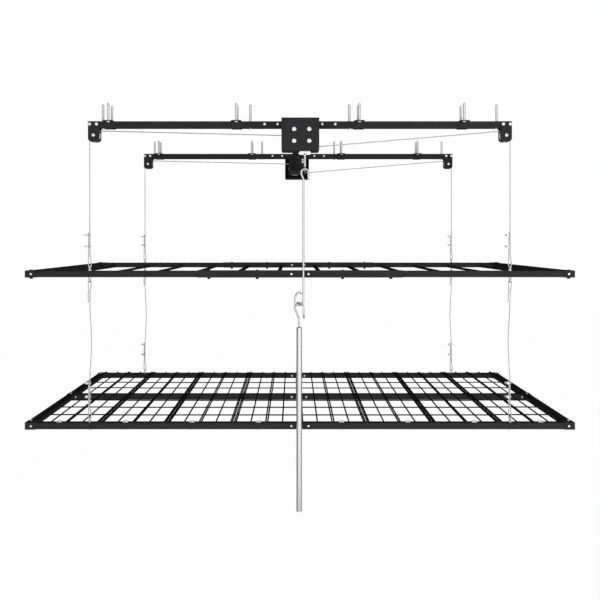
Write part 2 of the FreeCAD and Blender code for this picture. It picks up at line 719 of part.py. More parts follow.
def hoist_run(s):
    """Rope from the front drum over one end pulley, to where it hangs straight down.

    The run lies in an upright plane through the hanging rope, swung a little so that it meets
    the drum beside its middle.
    """
    over = 1 if s < 0 else -1
    end_centre = (s * pulley_x - drum_x, -axle_drop - drum_z)
    first, last = tangent_points(drum_pitch_r + body_gap, over, end_centre, pulley_pitch_r)
    top = math.atan2(last[1] - end_centre[1], last[0] - end_centre[0])
    middle_angle = (top + (0 if s > 0 else math.pi)) / 2
    centre = V(s * pulley_x, 0, -axle_drop)

    def on_pulley(angle):
        return centre + V(pulley_pitch_r * math.cos(angle), 0, pulley_pitch_r * math.sin(angle))

    start = V(drum_x + first[0], 0, drum_z + first[1])
    path = Part.Wire([
        Part.LineSegment(start, on_pulley(top)).toShape(),
        Part.Arc(on_pulley(top), on_pulley(middle_angle), V(s * eye_x, 0, -axle_drop)).toShape()])
    run = bar_along(path, rope_r)
    swing = math.degrees(math.atan2(exit_offset, eye_x))
    run.rotate(V(s * eye_x, 0, 0), V(0, 0, 1), swing)
    return moved(run, y=-rope_y)


def rope_eye_path(x, y, z_eye, z_end, up):
    """Corners of a rope end that goes round an eye and back: up is 1 if the rope comes from above."""
    near = z_eye + up * 16.0
    apart = z_eye + up * 45.0
    far = z_eye - up * loop_r
    return [(V(x - strand_gap, y, z_end), 0), (V(x - strand_gap, y, apart), 60.0),
            (V(x - loop_r, y, near), 60.0), (V(x - loop_r, y, far), loop_r),
            (V(x + loop_r, y, far), loop_r), (V(x + loop_r, y, near), 60.0), (V(x, y, apart), 60.0)]


def rope_clip(x, y, z):
    """Rope clip: a bar bent round the pair of strands, a saddle block and two nuts."""
    bend = rope_r + clip_bar_r + 0.1
    saddle_x = x - strand_gap - rope_r
    tail = saddle_x - clip_block - clip_nut - 1.6
    path = bent_path([(V(tail, y - bend, z), 0), (V(x + bend, y - bend, z), bend),
                      (V(x + bend, y + bend, z), bend), (V(tail, y + bend, z), 0)])
    bar = bar_along(path, clip_bar_r)
    saddle = block((saddle_x - clip_block, saddle_x), (y - bend - 5.0, y + bend + 5.0),
                   (z - clip_block_h / 2, z + clip_block_h / 2))
    legs = [rod("x", tail - 1, saddle_x + 1, clip_bar_r, (y + s * bend, z)) for s in (-1, 1)]
    nuts = [rod("x", saddle_x - clip_block - clip_nut, saddle_x - clip_block, 4.4, (y + s * bend, z)).cut(
        rod("x", tail, saddle_x, clip_bar_r, (y + s * bend, z))) for s in (-1, 1)]
    return [bar, cut_all(saddle, legs)] + nuts


def upper_eye_z():
    """Middle of the ring on top of the upper deck, and of the ring below it."""
    top = deck_tops["upper"]
    return top + eye_seat_h + eye_ring_r, top - beam - eye_seat_h - eye_ring_r - 1.0


def hoist_ropes():
    bottom_bend = upper_eye_z()[0] + eye_ring_r - eye_bar_r - rope_r - body_gap + loop_r
    for s in (-1, 1):
        for run in both_ways(hoist_run(s), "y"):
            keep("rope_runs", run)
        for y in (-rope_y, rope_y):
            keep("rope_drops", rod("z", -drop_end, -axle_drop, rope_r, (s * eye_x, y)))
            corners = rope_eye_path(s * eye_x, y, bottom_bend, -hoist_clip_drop[0] + 12.0, 1)
            corners.append((V(s * eye_x, y, -drop_end), 0))
            keep("hoist_rope_ends", bar_along(bent_path(corners), rope_r))
            for z in hoist_clip_drop:
                keep("rope_clips", *rope_clip(s * eye_x, y, -z))


def hanging_ropes():
    """Ropes of fixed length between the decks, a little slack."""
    below = upper_eye_z()[1]
    lower_ring = deck_tops["lower"] + eye_seat_h + eye_ring_r
    top_bend = below - eye_ring_r + eye_bar_r + rope_r + body_gap - loop_r
    bottom_bend = lower_ring + eye_ring_r - eye_bar_r - rope_r - body_gap + loop_r
    ferrule_top = top_bend - 45.0
    ferrule_foot = ferrule_top - ferrule_length
    for s in (-1, 1):
        x = s * eye_x
        bowed = x - s * hang_bow
        for y in (-rope_y, rope_y):
            corners = rope_eye_path(x, y, top_bend, ferrule_foot - 3.0, -1)
            corners += [(V(x, y, ferrule_foot - 20.0), 900.0),
                        (V(bowed, y, ferrule_foot - 150.0), 1200.0),
                        (V(bowed, y, -hang_clip_drop[0] + 150.0), 1200.0),
                        (V(x, y, -hang_clip_drop[0] + 20.0), 900.0)]
            lower = rope_eye_path(x, y, bottom_bend, -hang_clip_drop[0] + 12.0, 1)
            corners += lower[::-1]
            keep("hanging_ropes", bar_along(bent_path(corners), rope_r))
            around = rope_r + ferrule_wall
            ferrule = block((x - strand_gap - around, x + around), (y - around, y + around),
                            (ferrule_foot, ferrule_top))
            upright = [e for e in ferrule.Edges if abs(e.Length - ferrule_length) < 0.01]
            ferrule = ferrule.makeFillet(rope_r, upright)
            strands = [rod("z", ferrule_foot - 1, ferrule_top + 1, rope_r, (x - d, y))
                       for d in (0.0, strand_gap)]
            keep("rope_ferrules", cut_all(ferrule, strands))
            for z in hang_clip_drop:
                keep("rope_clips", *rope_clip(x, y, -z))


def ring(x, y, z):
    """A rope ring in an upright plane across the rope's bend."""
    return Part.makeTorus(eye_ring_r, eye_bar_r, V(x, y, z), V(1, 0, 0))


def eyebolts():
    """Eyebolts through the long beams: ring above; below, an eye nut or a plain nut."""
    below = upper_eye_z()[1]
    for name, top in deck_tops.items():
        foot = top - beam
        for s in (-1, 1):
            for y in (-rope_y, rope_y):
                at = (s * eye_x, y)
                ring_z = top + eye_seat_h + eye_ring_r
                seat = rod("z", top, top + eye_seat_h, eye_seat_r, at)
                shank = rod("z", foot - eye_seat_h - 1.0, top + 1.0, eye_shank_r, at)
                keep("eyebolts", fused([ring(*at, ring_z), seat, shank]))
                if name == "upper":
                    nut = rod("z", foot - eye_seat_h - 1.0, foot, eye_seat_r, at)
                    bore = rod("z", foot - eye_seat_h - 1.0, foot + 1, eye_shank_r, at)
                    nut = fused([nut, ring(*at, below)]).cut(bore)
                else:
                    nut = hexagon("z", foot - nut_h, foot, frame_nut_flats, at)
                    nut = nut.cut(rod("z", foot - 20, foot + 1, eye_shank_r, at))
                keep("eye_nuts", nut)


# ---- deck frames ---------------------------------------------------------------------------
def corner_bracket(top):
    """Front right corner: two square sockets that take the long and the side beam."""
    x1, y1 = deck_length / 2, -deck_depth / 2
    z = (top - beam - socket_wall, top + socket_wall)
    arm_x = block((x1 - corner_arm, x1), (y1, y1 + socket), z)
    arm_y = block((x1 - socket, x1), (y1, y1 + corner_arm), z)
    long_room = block((0, x1 - socket_wall), (-beam_out_y, -beam_in_y), (top - beam, top))
    side_room = block((side_in_x, side_in_x + beam), (-beam_in_y - 1, 0), (top - beam, top))
    bolt = rod("z", z[0] - 1, z[1] + 1, frame_bolt_r, (side_x, -corner_bolt_y))
    return cut_all(fused([arm_x, arm_y]), [long_room, side_room, bolt] + corner_screws(top, screw_r))


def corner_screws(top, radius):
    """Shank of the screw in the face of the front right corner."""
    return [rod("y", -deck_depth / 2 - 1, -deck_depth / 2 + screw_length, radius,
                (deck_length / 2 - corner_screw_inset, top - beam / 2))]


def face_screw(x, y_face, z):
    """A round-headed screw driven along +Y into a face."""
    head = rod("y", y_face - screw_head_h, y_face, screw_head_r, (x, z))
    rim = [e for e in head.Edges if e.Closed and e.CenterOfMass.y < y_face - screw_head_h / 2]
    shank = rod("y", y_face - 0.5, y_face + screw_length, screw_r, (x, z))
    return fused([head.makeFillet(screw_head_h * 0.5, rim), shank])


def upright_bolt(x, y, top, foot):
    """A bolt along Z: round head on top, nut below."""
    head = rod("z", top, top + frame_bolt_head_h, frame_bolt_head_r, (x, y))
    rim = [e for e in head.Edges if e.Closed and e.CenterOfMass.z > top + frame_bolt_head_h / 2]
    head = head.makeFillet(frame_bolt_head_h * 0.5, rim)
    shank = rod("z", foot - nut_h - 1.0, top, frame_bolt_r, (x, y))
    nut = hexagon("z", foot - nut_h, foot, frame_nut_flats, (x, y))
    return fused([head, shank, nut])


def four_corners(shape):
    """A front right piece at all four corners."""
    return [m for s in both_ways(shape, "x") for m in both_ways(s, "y")]


def halves(y, z, holes):
    """A long beam in two halves that meet in the middle."""
    end = deck_length / 2 - socket_wall
    return [cut_all(square_tube("x", a, b, beam, beam_wall, (y, z)), holes)
            for a, b in ((-end, -joint_gap / 2), (joint_gap / 2, end))]


def eye_holes(y, top):
    return [rod("z", top - beam - 1, top + 1, eye_shank_r, (s * eye_x, y)) for s in (-1, 1)]


def long_beam_screws(y_face, z):
    """Screws in the front of a beam, either side of its joint; they reach through the sleeve or splice."""
    return [face_screw(s * joint_screw_x, y_face, z) for s in (-1, 1)]


def upper_deck():
    top = deck_tops["upper"]
    z = top - beam / 2
    for y in (-rope_y, rope_y):
        sleeve_face = y - socket / 2
        screw_holes = [rod("y", sleeve_face - 1, sleeve_face + screw_length, screw_r, (s * joint_screw_x, z))
                       for s in (-1, 1)]
        bolt_holes = [rod("z", top - beam - 5, top + 5, frame_bolt_r, (s * x, y))
                      for x in sleeve_bolt_x for s in (-1, 1)]
        holes = screw_holes + bolt_holes + corner_screw_holes(y, z) + eye_holes(y, top)
        keep("upper_long_beams", *halves(y, z, holes))
        sleeve = square_tube("x", -sleeve_half, sleeve_half, socket, socket_wall, (y, z))
        keep("upper_beam_sleeves", cut_all(sleeve, screw_holes + bolt_holes))
        keep("frame_screws", *long_beam_screws(sleeve_face, z))
        for x in sleeve_bolt_x:
            for s in (-1, 1):
                keep("sleeve_bolts", upright_bolt(s * x, y, top + socket_wall, top - beam - socket_wall))
    slats(top)


def corner_screw_holes(y, z):
    """Screw holes in a long beam where its corner screws enter from outside."""
    outward = math.copysign(1, y)
    face = outward * deck_depth / 2
    lo, hi = sorted((face + outward, face - outward * screw_length))
    return [rod("y", lo, hi, screw_r, (s * (deck_length / 2 - corner_screw_inset), z)) for s in (-1, 1)]


def slats(top):
    """Channel slats across the upper deck, level with the foot of its beams."""
    reach = side_in_x - slat_width / 2
    pairs = int(reach / slat_pitch + 0.5)
    foot = top - beam
    for i in range(pairs):
        x = (i + 0.5) * slat_pitch
        end = beam_in_y - socket_wall if x - slat_width / 2 < sleeve_half else beam_in_y
        outer = block((x - slat_width / 2, x + slat_width / 2), (-end, end), (foot, foot + slat_height))
        inner = block((x - slat_width / 2 + slat_wall, x + slat_width / 2 - slat_wall), (-end, end),
                      (foot, foot + slat_height - slat_wall))
        keep("upper_slats", *both_ways(outer.cut(inner), "x"))


def lower_deck():
    top = deck_tops["lower"]
    z = top - beam / 2
    for y in (-rope_y, 0.0, rope_y):
        face = y - beam / 2
        screw_holes = [rod("y", face - 1, face + screw_length, screw_r, (s * joint_screw_x, z))
                       for s in (-1, 1)]
        if y:
            clip_holes = [rod("z", top - beam - 1, top + 1, clip_screw_r, at)
                          for at in clip_screw_places(y)]
            holes = screw_holes + corner_screw_holes(y, z) + eye_holes(y, top) + clip_holes
            keep("lower_long_beams", *halves(y, z, holes))
        else:
            tee_screw_x = side_in_x - tee_screw_inset
            tee_holes = [rod("y", face - 2, face + screw_length, screw_r, (s * tee_screw_x, z))
                         for s in (-1, 1)]
            parts = [square_tube("x", a, b, beam, beam_wall, (y, z))
                     for a, b in ((-side_in_x, -joint_gap / 2), (joint_gap / 2, side_in_x))]
            keep("lower_mid_beam", *[cut_all(part, screw_holes + tee_holes) for part in parts])
        splice = square_tube("x", -splice_half, splice_half, beam - 2 * beam_wall, beam_wall, (y, z))
        keep("lower_beam_splices", cut_all(splice, screw_holes))
        keep("frame_screws", *long_beam_screws(face, z))
    tees(top)


def tees(top):
    """Sockets that join the middle beam to the side beams."""
    z = (top - beam - socket_wall, top + socket_wall)
    around = block((side_x - socket / 2, side_x + socket / 2), (-tee_length / 2, tee_length / 2), z)
    arm = block((side_in_x - tee_arm, side_x), (-socket / 2, socket / 2), z)
    side_room = block((side_in_x, side_in_x + beam), (-tee_length, tee_length), (top - beam, top))
    mid_room = block((0, side_in_x + 1), (-beam / 2, beam / 2), (top - beam, top))
    bolt = rod("z", z[0] - 1, z[1] + 1, frame_bolt_r, (side_x, 0))
    screw_x = side_in_x - tee_screw_inset
    screw = rod("y", -socket / 2 - 1, -socket / 2 + screw_length, screw_r, (screw_x, top - beam / 2))
    tee = cut_all(fused([around, arm]), [side_room, mid_room, bolt, screw])
    keep("tee_brackets", *both_ways(tee, "x"))
    keep("frame_screws", *both_ways(face_screw(screw_x, -socket / 2, top - beam / 2), "x"))
    keep("frame_bolts", *both_ways(upright_bolt(side_x, 0.0, z[1], z[0]), "x"))


def frame_corners():
    """Side beams, corner brackets and their fasteners, alike on both decks."""
    for name, top in deck_tops.items():
        z = top - beam / 2
        bolt_y = [-corner_bolt_y, corner_bolt_y] + ([0.0] if name == "lower" else [])
        bolt_holes = [rod("z", top - beam - 1, top + 1, frame_bolt_r, (side_x, y)) for y in bolt_y]
        side_beam = square_tube("y", -beam_in_y, beam_in_y, beam, beam_wall, (side_x, z))
        keep("side_beams", *both_ways(cut_all(side_beam, bolt_holes), "x"))
        keep("corner_brackets", *four_corners(corner_bracket(top)))
        screw = face_screw(deck_length / 2 - corner_screw_inset, -deck_depth / 2, z)
        keep("frame_screws", *four_corners(screw))
        bolt = upright_bolt(side_x, -corner_bolt_y, top + socket_wall, top - beam - socket_wall)
        keep("frame_bolts" if name == "lower" else "sleeve_bolts", *four_corners(bolt))


# ---- wire deck -----------------------------------------------------------------------------
def panel_layout():
    """Panel pitch, and the places of the long wires from a panel's middle."""
    pitch = 2 * (side_in_x - panel_end_gap) / panel_count
    edge = (pitch - panel_gap - long_wire) / 2
    inner = edge - edge_pair
    half = [wire_pair / 2, (wire_pair / 2 + inner) / 2, inner, edge]
    return pitch, [-x for x in half[::-1]] + half


def panel_rise(i):
    """An end panel lies on the corner brackets and tees, the others on the beams."""
    return socket_wall if i in (0, panel_count - 1) else 0.0


def clip_places():
    """Where the hold-down clips sit: outward of each panel's middle, clear of the eyebolts."""
    pitch, wires = panel_layout()
    beside = (wires[-4] + wires[-3]) / 2
    keep_off = clip_width / 2 + eye_seat_r + eye_clearance
    places = []
    for i in range(panel_count):
        middle = (i - (panel_count - 1) / 2) * pitch
        outward, inward = [middle + s * math.copysign(beside, middle) for s in (1, -1)]
        places.append(outward if abs(abs(outward) - eye_x) > keep_off else inward)
    return places


def clip_screw_places(y):
    outward = -1 if y < 0 else 1
    foot_y = y + outward * (beam / 2 - wire_end_inset - clip_foot / 2 + 1.0)
    return [(x + s * clip_screw_gap, foot_y) for x in clip_places() for s in (-1, 1)]


def wire_panel():
    """One welded panel about the origin: long wires on the beams, cross wires under them."""
    pitch, wires = panel_layout()
    half_width = (pitch - panel_gap) / 2
    long_z = deck_tops["lower"] + long_wire / 2
    cross_z = long_z - (long_wire + cross_wire) / 2 + weld_sink
    count = int((beam_in_y - socket_wall - cross_wire) / cross_pitch)
    cross_y = [i * cross_pitch for i in range(-count, count + 1) if i]
    end = beam_out_y - wire_end_inset
    bars = [rod("x", -half_width, half_width, cross_wire / 2, (y, cross_z)) for y in cross_y]
    bars += [rod("y", -end, end, long_wire / 2, (x, long_z)) for x in wires]
    return bars[0].multiFuse(bars[1:])


def wire_deck():
    pitch = panel_layout()[0]
    panel = wire_panel()
    for i in range(panel_count):
        keep("wire_panels", moved(panel, x=(i - (panel_count - 1) / 2) * pitch, z=panel_rise(i)))
    top = deck_tops["lower"]
    foot_y = clip_screw_places(-rope_y)[0][1]
    foot = (foot_y - clip_foot / 2, foot_y + clip_foot / 2)
    over = -beam_in_y
    low = top
    for x in clip_places():
        high = top + clip_step
        profile = [(foot[0], low), (foot[1], low), (foot[1], high), (over, high), (over, high + clip_sheet),
                   (foot[1] - clip_sheet, high + clip_sheet), (foot[1] - clip_sheet, low + clip_sheet),
                   (foot[0], low + clip_sheet)]
        points = [V(x - clip_width / 2, y, z) for y, z in profile]
        clip = Part.Face(Part.makePolygon(points + points[:1])).extrude(V(clip_width, 0, 0))
        holes = []
        for s in (-1, 1):
            at = (x + s * clip_screw_gap, foot_y)
            holes.append(rod("z", low - 1, low + 10, clip_screw_r, at))
            head = rod("z", low + clip_sheet, low + clip_sheet + 2.2, 3.6, at)
            shank = rod("z", low - beam - 4.5, low + clip_sheet, clip_screw_r, at)
            nut = hexagon("z", low - beam - 3.2, low - beam, 7.0, at)
            keep("clip_screws", *both_ways(fused([head, shank, nut]), "y"))
        keep("panel_clips", *both_ways(cut_all(clip, holes), "y"))


# ---- crank ---------------------------------------------------------------------------------
def crank_eye():
    """Input shaft under the winch, with the eye at its foot."""
    at = (input_x, gear_y)
    eye = Part.makeTorus(crank_ring_r, crank_bar_r, V(*at, crank_z), V(1, 0, 0))
    foot = crank_z + crank_ring_r + crank_bar_r
    top = -front_box_height - input_flange_h - body_gap
    return fused([eye, rod("z", foot - crank_stem, top, input_r, at)])


def hook_crown_z():
    """Middle of the rod hook's bar where it hangs in the eye."""
    return crank_z - crank_ring_r + crank_bar_r + body_gap + rod_r


def extension_rod():
    """Rod with a hook at the top and a closed-up loop at the foot."""
    y = gear_y
    crown = hook_crown_z()
    shoulder = crown - hook_r
    rod_x = input_x - rod_offset
    right, left = input_x + hook_r, input_x - hook_r
    sway = V(-math.cos(loop_turn), -math.sin(loop_turn), 0)
    rod_at = V(rod_x, y, 0)
    across = sway * (2 * loop_half_width)
    low = -loop_drop
    high = low + loop_height
    corners = [(V(right, y, shoulder - hook_leg), 0),
               (V(right, y, crown), hook_r),
               (V(left, y, crown), hook_r),
               (V(left, y, shoulder - 6.0), 14.0),
               (V(rod_x, y, shoulder - 6.0 - rod_shoulder), 14.0),
               (rod_at + V(0, 0, low), loop_half_width),
               (rod_at + across + V(0, 0, low), loop_half_width)]
    upper = rod_at + across + V(0, 0, high - loop_half_width)
    path = bent_path(corners + [(upper, 0)])
    middle = rod_at + sway * loop_half_width + V(0, 0, high - loop_half_width)

    def on_loop(angle):
        rise = V(0, 0, loop_half_width * math.sin(angle))
        return middle - sway * (loop_half_width * math.cos(angle)) + rise

    end_arc = Part.Arc(upper, on_loop((math.pi + loop_open) / 2), on_loop(loop_open)).toShape()
    return bar_along(Part.Wire(path.Edges + [end_arc]), rod_r)


def loop_bottom():
    """Middle of the loop's lowest bar."""
    rod_at = V(input_x - rod_offset, gear_y, -loop_drop)
    return rod_at + V(-math.cos(loop_turn), -math.sin(loop_turn), 0) * loop_half_width


def crank_pole():
    """Pole that hangs in the rod's loop: bent hook, tube and foot plug."""
    seat = loop_bottom()
    crown = seat.z + rod_r + pole_hook_bar_r + pole_play
    across = V(math.cos(loop_turn), -math.sin(loop_turn), 0)
    at = V(seat.x, seat.y, 0)

    def point(sideways, z):
        return at + across * sideways + V(0, 0, z)

    tube_top = crown - pole_hook_r - pole_neck - pole_shank - 22.0
    shoulder = crown - pole_hook_r - 12.0
    corners = [(point(pole_hook_r, crown - pole_hook_r - pole_hook_leg), 0),
               (point(pole_hook_r, crown), pole_hook_r),
               (point(-pole_hook_r, crown), pole_hook_r),
               (point(-pole_hook_r, shoulder), 16.0),
               (point(0, shoulder - pole_neck), 16.0),
               (point(0, tube_top - 40.0), 0)]
    keep("pole_hook", bar_along(bent_path(corners), pole_hook_bar_r))
    foot = -pole_foot_drop
    outer = rod("z", foot, tube_top, pole_r, (at.x, at.y))
    rim = [e for e in outer.Edges if e.Closed and e.CenterOfMass.z > tube_top - 1]
    outer = outer.makeFillet(4.0, rim)
    room = rod("z", foot - 1, tube_top - 40.0, pole_r - pole_wall, (at.x, at.y))
    neck = rod("z", tube_top - 41.0, tube_top + 1, pole_hook_bar_r, (at.x, at.y))
    keep("pole_tube", cut_all(outer, [room, neck]))
    keep("pole_plug", rod("z", foot, foot + 18.0, pole_r - pole_wall, (at.x, at.y)))


def crank():
    keep("crank_eye", crank_eye())
    keep("extension_rod", extension_rod())
    crank_pole()


rails()
ceiling_fixings()
end_pulleys()
winch_casings()
drum_hangers()
rear_bearing()
shaft_and_drums()
worm_gear()
hoist_ropes()
hanging_ropes()
eyebolts()
upper_deck()
lower_deck()
frame_corners()
wire_deck()
crank()
save_all()
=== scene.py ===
import json
import math

import bmesh
import bpy
from mathutils import Matrix, Vector


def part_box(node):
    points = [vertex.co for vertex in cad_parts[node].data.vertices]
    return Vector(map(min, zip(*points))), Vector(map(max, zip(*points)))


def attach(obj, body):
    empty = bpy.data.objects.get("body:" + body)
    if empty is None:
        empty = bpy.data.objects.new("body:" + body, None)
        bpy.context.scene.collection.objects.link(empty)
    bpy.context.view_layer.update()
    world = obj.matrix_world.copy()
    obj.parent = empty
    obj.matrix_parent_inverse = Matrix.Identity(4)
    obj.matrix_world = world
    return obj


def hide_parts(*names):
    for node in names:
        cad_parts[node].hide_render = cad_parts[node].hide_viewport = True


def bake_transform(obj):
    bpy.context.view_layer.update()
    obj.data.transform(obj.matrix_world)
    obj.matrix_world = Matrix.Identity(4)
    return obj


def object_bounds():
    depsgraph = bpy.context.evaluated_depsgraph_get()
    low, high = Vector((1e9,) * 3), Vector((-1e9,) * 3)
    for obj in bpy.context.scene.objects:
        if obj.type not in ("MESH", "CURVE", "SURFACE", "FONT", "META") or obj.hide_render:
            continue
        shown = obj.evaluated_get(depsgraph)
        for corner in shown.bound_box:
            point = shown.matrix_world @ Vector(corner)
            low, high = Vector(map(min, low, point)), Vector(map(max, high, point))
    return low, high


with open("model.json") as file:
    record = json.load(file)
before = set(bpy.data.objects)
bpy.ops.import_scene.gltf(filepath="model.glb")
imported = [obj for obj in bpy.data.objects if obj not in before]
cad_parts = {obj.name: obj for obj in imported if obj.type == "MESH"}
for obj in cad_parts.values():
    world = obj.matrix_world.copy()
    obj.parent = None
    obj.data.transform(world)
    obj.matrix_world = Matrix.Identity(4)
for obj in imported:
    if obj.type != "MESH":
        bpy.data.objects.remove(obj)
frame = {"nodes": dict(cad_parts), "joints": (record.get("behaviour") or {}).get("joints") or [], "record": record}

# Ceiling hoist with two storage decks. Metres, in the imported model's own frame.
cad_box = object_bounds()
MM = 0.001

# ---- sizes of the pieces that are rebuilt here --------------------------------------------
EYE_RING = 8.0 * MM                 # eyebolt's ring, to the middle of its bar
EYE_BAR = 3.0 * MM                  # its bar's radius
EYE_SEAT = 5.0 * MM                 # from the beam to the ring
EYE_WASHER = 1.0 * MM               # under the upper deck only
ROPE_BEND = 6.5 * MM                # rope's bend in the ring
EYE_SIDES = 16.0 * MM               # straight sides of the rope's eye
EYE_LENGTH = 45.0 * MM              # from the bend to where both strands lie side by side
STRAND_GAP = 5.0 * MM               # between the middles of those strands
BODY_GAP = 0.3 * MM                 # rope to ring and to drum
ROPE_TAIL = 12.0 * MM               # free end past the clip
FERRULE = 40.0 * MM
FERRULE_END = 3.0 * MM              # free end inside the ferrule
SLACK = 8.0 * MM                    # how far a slack rope bows
BOW_LEAD = 20.0 * MM                # straight start of the bow
BOW_REACH = 150.0 * MM              # start of its full width
ROPE_LAY = 22.0 * MM                # one turn of a strand
STEPS_PER_LAY = 7
DRUM_TURNS = 7
STEPS_PER_TURN = 30
CLIP_BAR = 2.2 * MM                 # rope clip's U-bolt, radius
CLIP_PLAY = 0.1 * MM                # U-bolt to rope
CLIP_BLOCK = 8.0 * MM
CLIP_BLOCK_HEIGHT = 10.0 * MM
CLIP_BLOCK_SIDE = 5.0 * MM          # block beyond the U-bolt's legs
CLIP_BLOCK_EDGE = 1.6 * MM
CLIP_NUT = 5.0 * MM
CLIP_NUT_FLATS = 8.0 * MM
CLIP_TIP = 1.6 * MM                 # U-bolt's ends beyond the nuts
LONG_WIRE = 3.5 * MM                # deck wires' radii, with their coat
CROSS_WIRE = 3.0 * MM
WIRE_PAIR = 9.0 * MM                # the two middle wires of a panel
EDGE_PAIR = 7.5 * MM                # the outer two
CROSS_PITCH = 152.4 * MM
WELD_BEAD = 3.4 * MM
WIRE_SIDES = 10
ROD_BAR = 4.5 * MM                  # crank rod's radius
ROD_HOOK = 15.7 * MM                # bend of its hook, to the middle of the bar
ROD_HOOK_LEG = 34.0 * MM
ROD_NECK = 23.0 * MM
ROD_NECK_START = 6.0 * MM
ROD_NECK_BEND = 14.0 * MM
ROD_OFFSET = 6.3 * MM               # rod, to the left of the input shaft
RING_WIDTH = 41.0 * MM              # ring at the rod's foot, to the middle of the bar
RING_HEIGHT = 55.0 * MM
RING_TURN = math.radians(25.0)
POLE_BAR = 4.25 * MM                # pole hook's radius
POLE_HOOK = 20.5 * MM               # its bend, to the middle of the bar
POLE_HOOK_LEG = 46.0 * MM
POLE_HOOK_FLARE = 1.5 * MM
POLE_NECK = 46.0 * MM
POLE_NECK_START = 3.5 * MM
POLE_NECK_BENDS = (10.0 * MM, 20.0 * MM)


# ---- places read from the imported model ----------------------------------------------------
def pivot(joint_name):
    """The place of a joint's axis."""
    for joint in frame["joints"]:
        if joint["name"] == joint_name:
            return Vector(joint["pos_m"])
    raise KeyError(joint_name)


def merged_copy(node):
    """A CAD node's mesh with its loose triangles joined."""
    shape = bmesh.new()
    shape.from_mesh(frame["nodes"][node].data)
    bmesh.ops.remove_doubles(shape, verts=shape.verts, dist=1e-6)
    return shape


def solids_of(node):
    """(lowest, highest) corner of every solid of a CAD node."""
    shape = merged_copy(node)
    todo = set(shape.verts)
    boxes = []
    while todo:
        found = [todo.pop()]
        for vert in found:
            near = {edge.other_vert(vert) for edge in vert.link_edges} & todo
            todo -= near
            found.extend(near)
        xyz = [[vert.co[i] for vert in found] for i in range(3)]
        boxes.append((Vector(map(min, xyz)), Vector(map(max, xyz))))
    shape.free()
    return sorted(boxes, key=lambda box: tuple(round(c, 4) for c in box[0]))


def middle(box):
    """The middle of a (lowest, highest) pair of corners."""
    return (box[0] + box[1]) / 2


PULLEY = pivot("rear_right_pulley_turn")
DRUM = pivot("drum_turn")
DROP_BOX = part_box("rope_drops")
ROPE = DROP_BOX[1][1] - PULLEY.y                 # rope's radius
EYE_X = DROP_BOX[1][0] - ROPE
PULLEY_PITCH = EYE_X - PULLEY.x
DROP_END = DROP_BOX[0][2]
DRUM_PITCH = (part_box("rope_windings")[1][0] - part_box("rope_windings")[0][0]) / 2 - ROPE
EXIT_OFFSET = ROPE + 0.1 * MM
DECK_TOPS = {"upper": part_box("side_beams")[1][2], "lower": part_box("lower_long_beams")[1][2]}
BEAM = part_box("lower_long_beams")[1][2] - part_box("lower_long_beams")[0][2]


# ---- node trees ---------------------------------------------------------------------------
class Flow:
    """A value on its way from one node to the next; plain arithmetic adds Math nodes."""

    def __init__(self, tree, socket):
        self.tree = tree
        self.socket = socket

    def _with(self, operation, first, second):
        return self.tree.add("ShaderNodeMath", {"operation": operation}, {0: first, 1: second})

    def __add__(self, other):
        return self._with("ADD", self, other)

    def __radd__(self, other):
        return self._with("ADD", other, self)

    def __sub__(self, other):
        return self._with("SUBTRACT", self, other)

    def __rsub__(self, other):
        return self._with("SUBTRACT", other, self)

    def __mul__(self, other):
        return self._with("MULTIPLY", self, other)

    def __rmul__(self, other):
        return self._with("MULTIPLY", other, self)

    def __truediv__(self, other):
        return self._with("DIVIDE", self, other)

    def __rtruediv__(self, other):
        return self._with("DIVIDE", other, self)


class Tree:
    """A node tree, shader or geometry, filled by calls."""

    def __init__(self, tree):
        self.tree = tree

    def add(self, kind, settings=None, sockets=None, out=0):
        """Adds a node, its settings first, then its sockets' values or links; returns an output."""
        node = self.tree.nodes.new(kind)
        for key, value in (settings or {}).items():
            if key == "stops":
                self._set_stops(node.color_ramp, value)
            else:
                setattr(node, key, value)
        for key, value in (sockets or {}).items():
            self.feed(node.inputs[key], value)
        return Flow(self, node.outputs[out])

    def feed(self, socket, value):
        if isinstance(value, Flow):
            self.tree.links.new(value.socket, socket)
        else:
            socket.default_value = value

    def _set_stops(self, ramp, stops):
        while len(ramp.elements) < len(stops):
            ramp.elements.new(1.0)
        for element, (place, colour) in zip(ramp.elements, stops):
            element.position = place
            element.color = colour


# ---- finishes -----------------------------------------------------------------------------
def grey(value, tint=(1.0, 1.0, 1.0)):
    """A colour of one brightness, slightly tinted if asked."""
    return (value * tint[0], value * tint[1], value * tint[2], 1.0)


class Finish(Tree):
    """A procedural material around one Principled shader."""

    def __init__(self, name, **fixed):
        self.material = bpy.data.materials.new(name)
        self.material.use_nodes = True
        super().__init__(self.material.node_tree)
        self.shader = self.tree.nodes["Principled BSDF"]
        for key, value in fixed.items():
            self.set(key.replace("_", " "), value)
        self.place = self.add("ShaderNodeTexCoord", out=3)

    def set(self, socket, value):
        self.feed(self.shader.inputs[socket], value)

    def noise(self, scale, detail=2.0, stretch=(1.0, 1.0, 1.0)):
        """Noise over the object's own space, drawn out along an axis by a small stretch."""
        at = self.add("ShaderNodeMapping", {}, {"Vector": self.place, "Scale": stretch})
        return self.add("ShaderNodeTexNoise", {}, {"Vector": at, "Scale": scale, "Detail": detail})

    def between(self, factor, first, second):
        return self.add("ShaderNodeMix", {"data_type": "RGBA"},
                        {"Factor": factor, 6: first, 7: second}, out=2)

    def bumped(self, height, depth, strength=1.0):
        self.set("Normal", self.add("ShaderNodeBump", {}, {"Height": height, "Distance": depth,
                                                           "Strength": strength}))


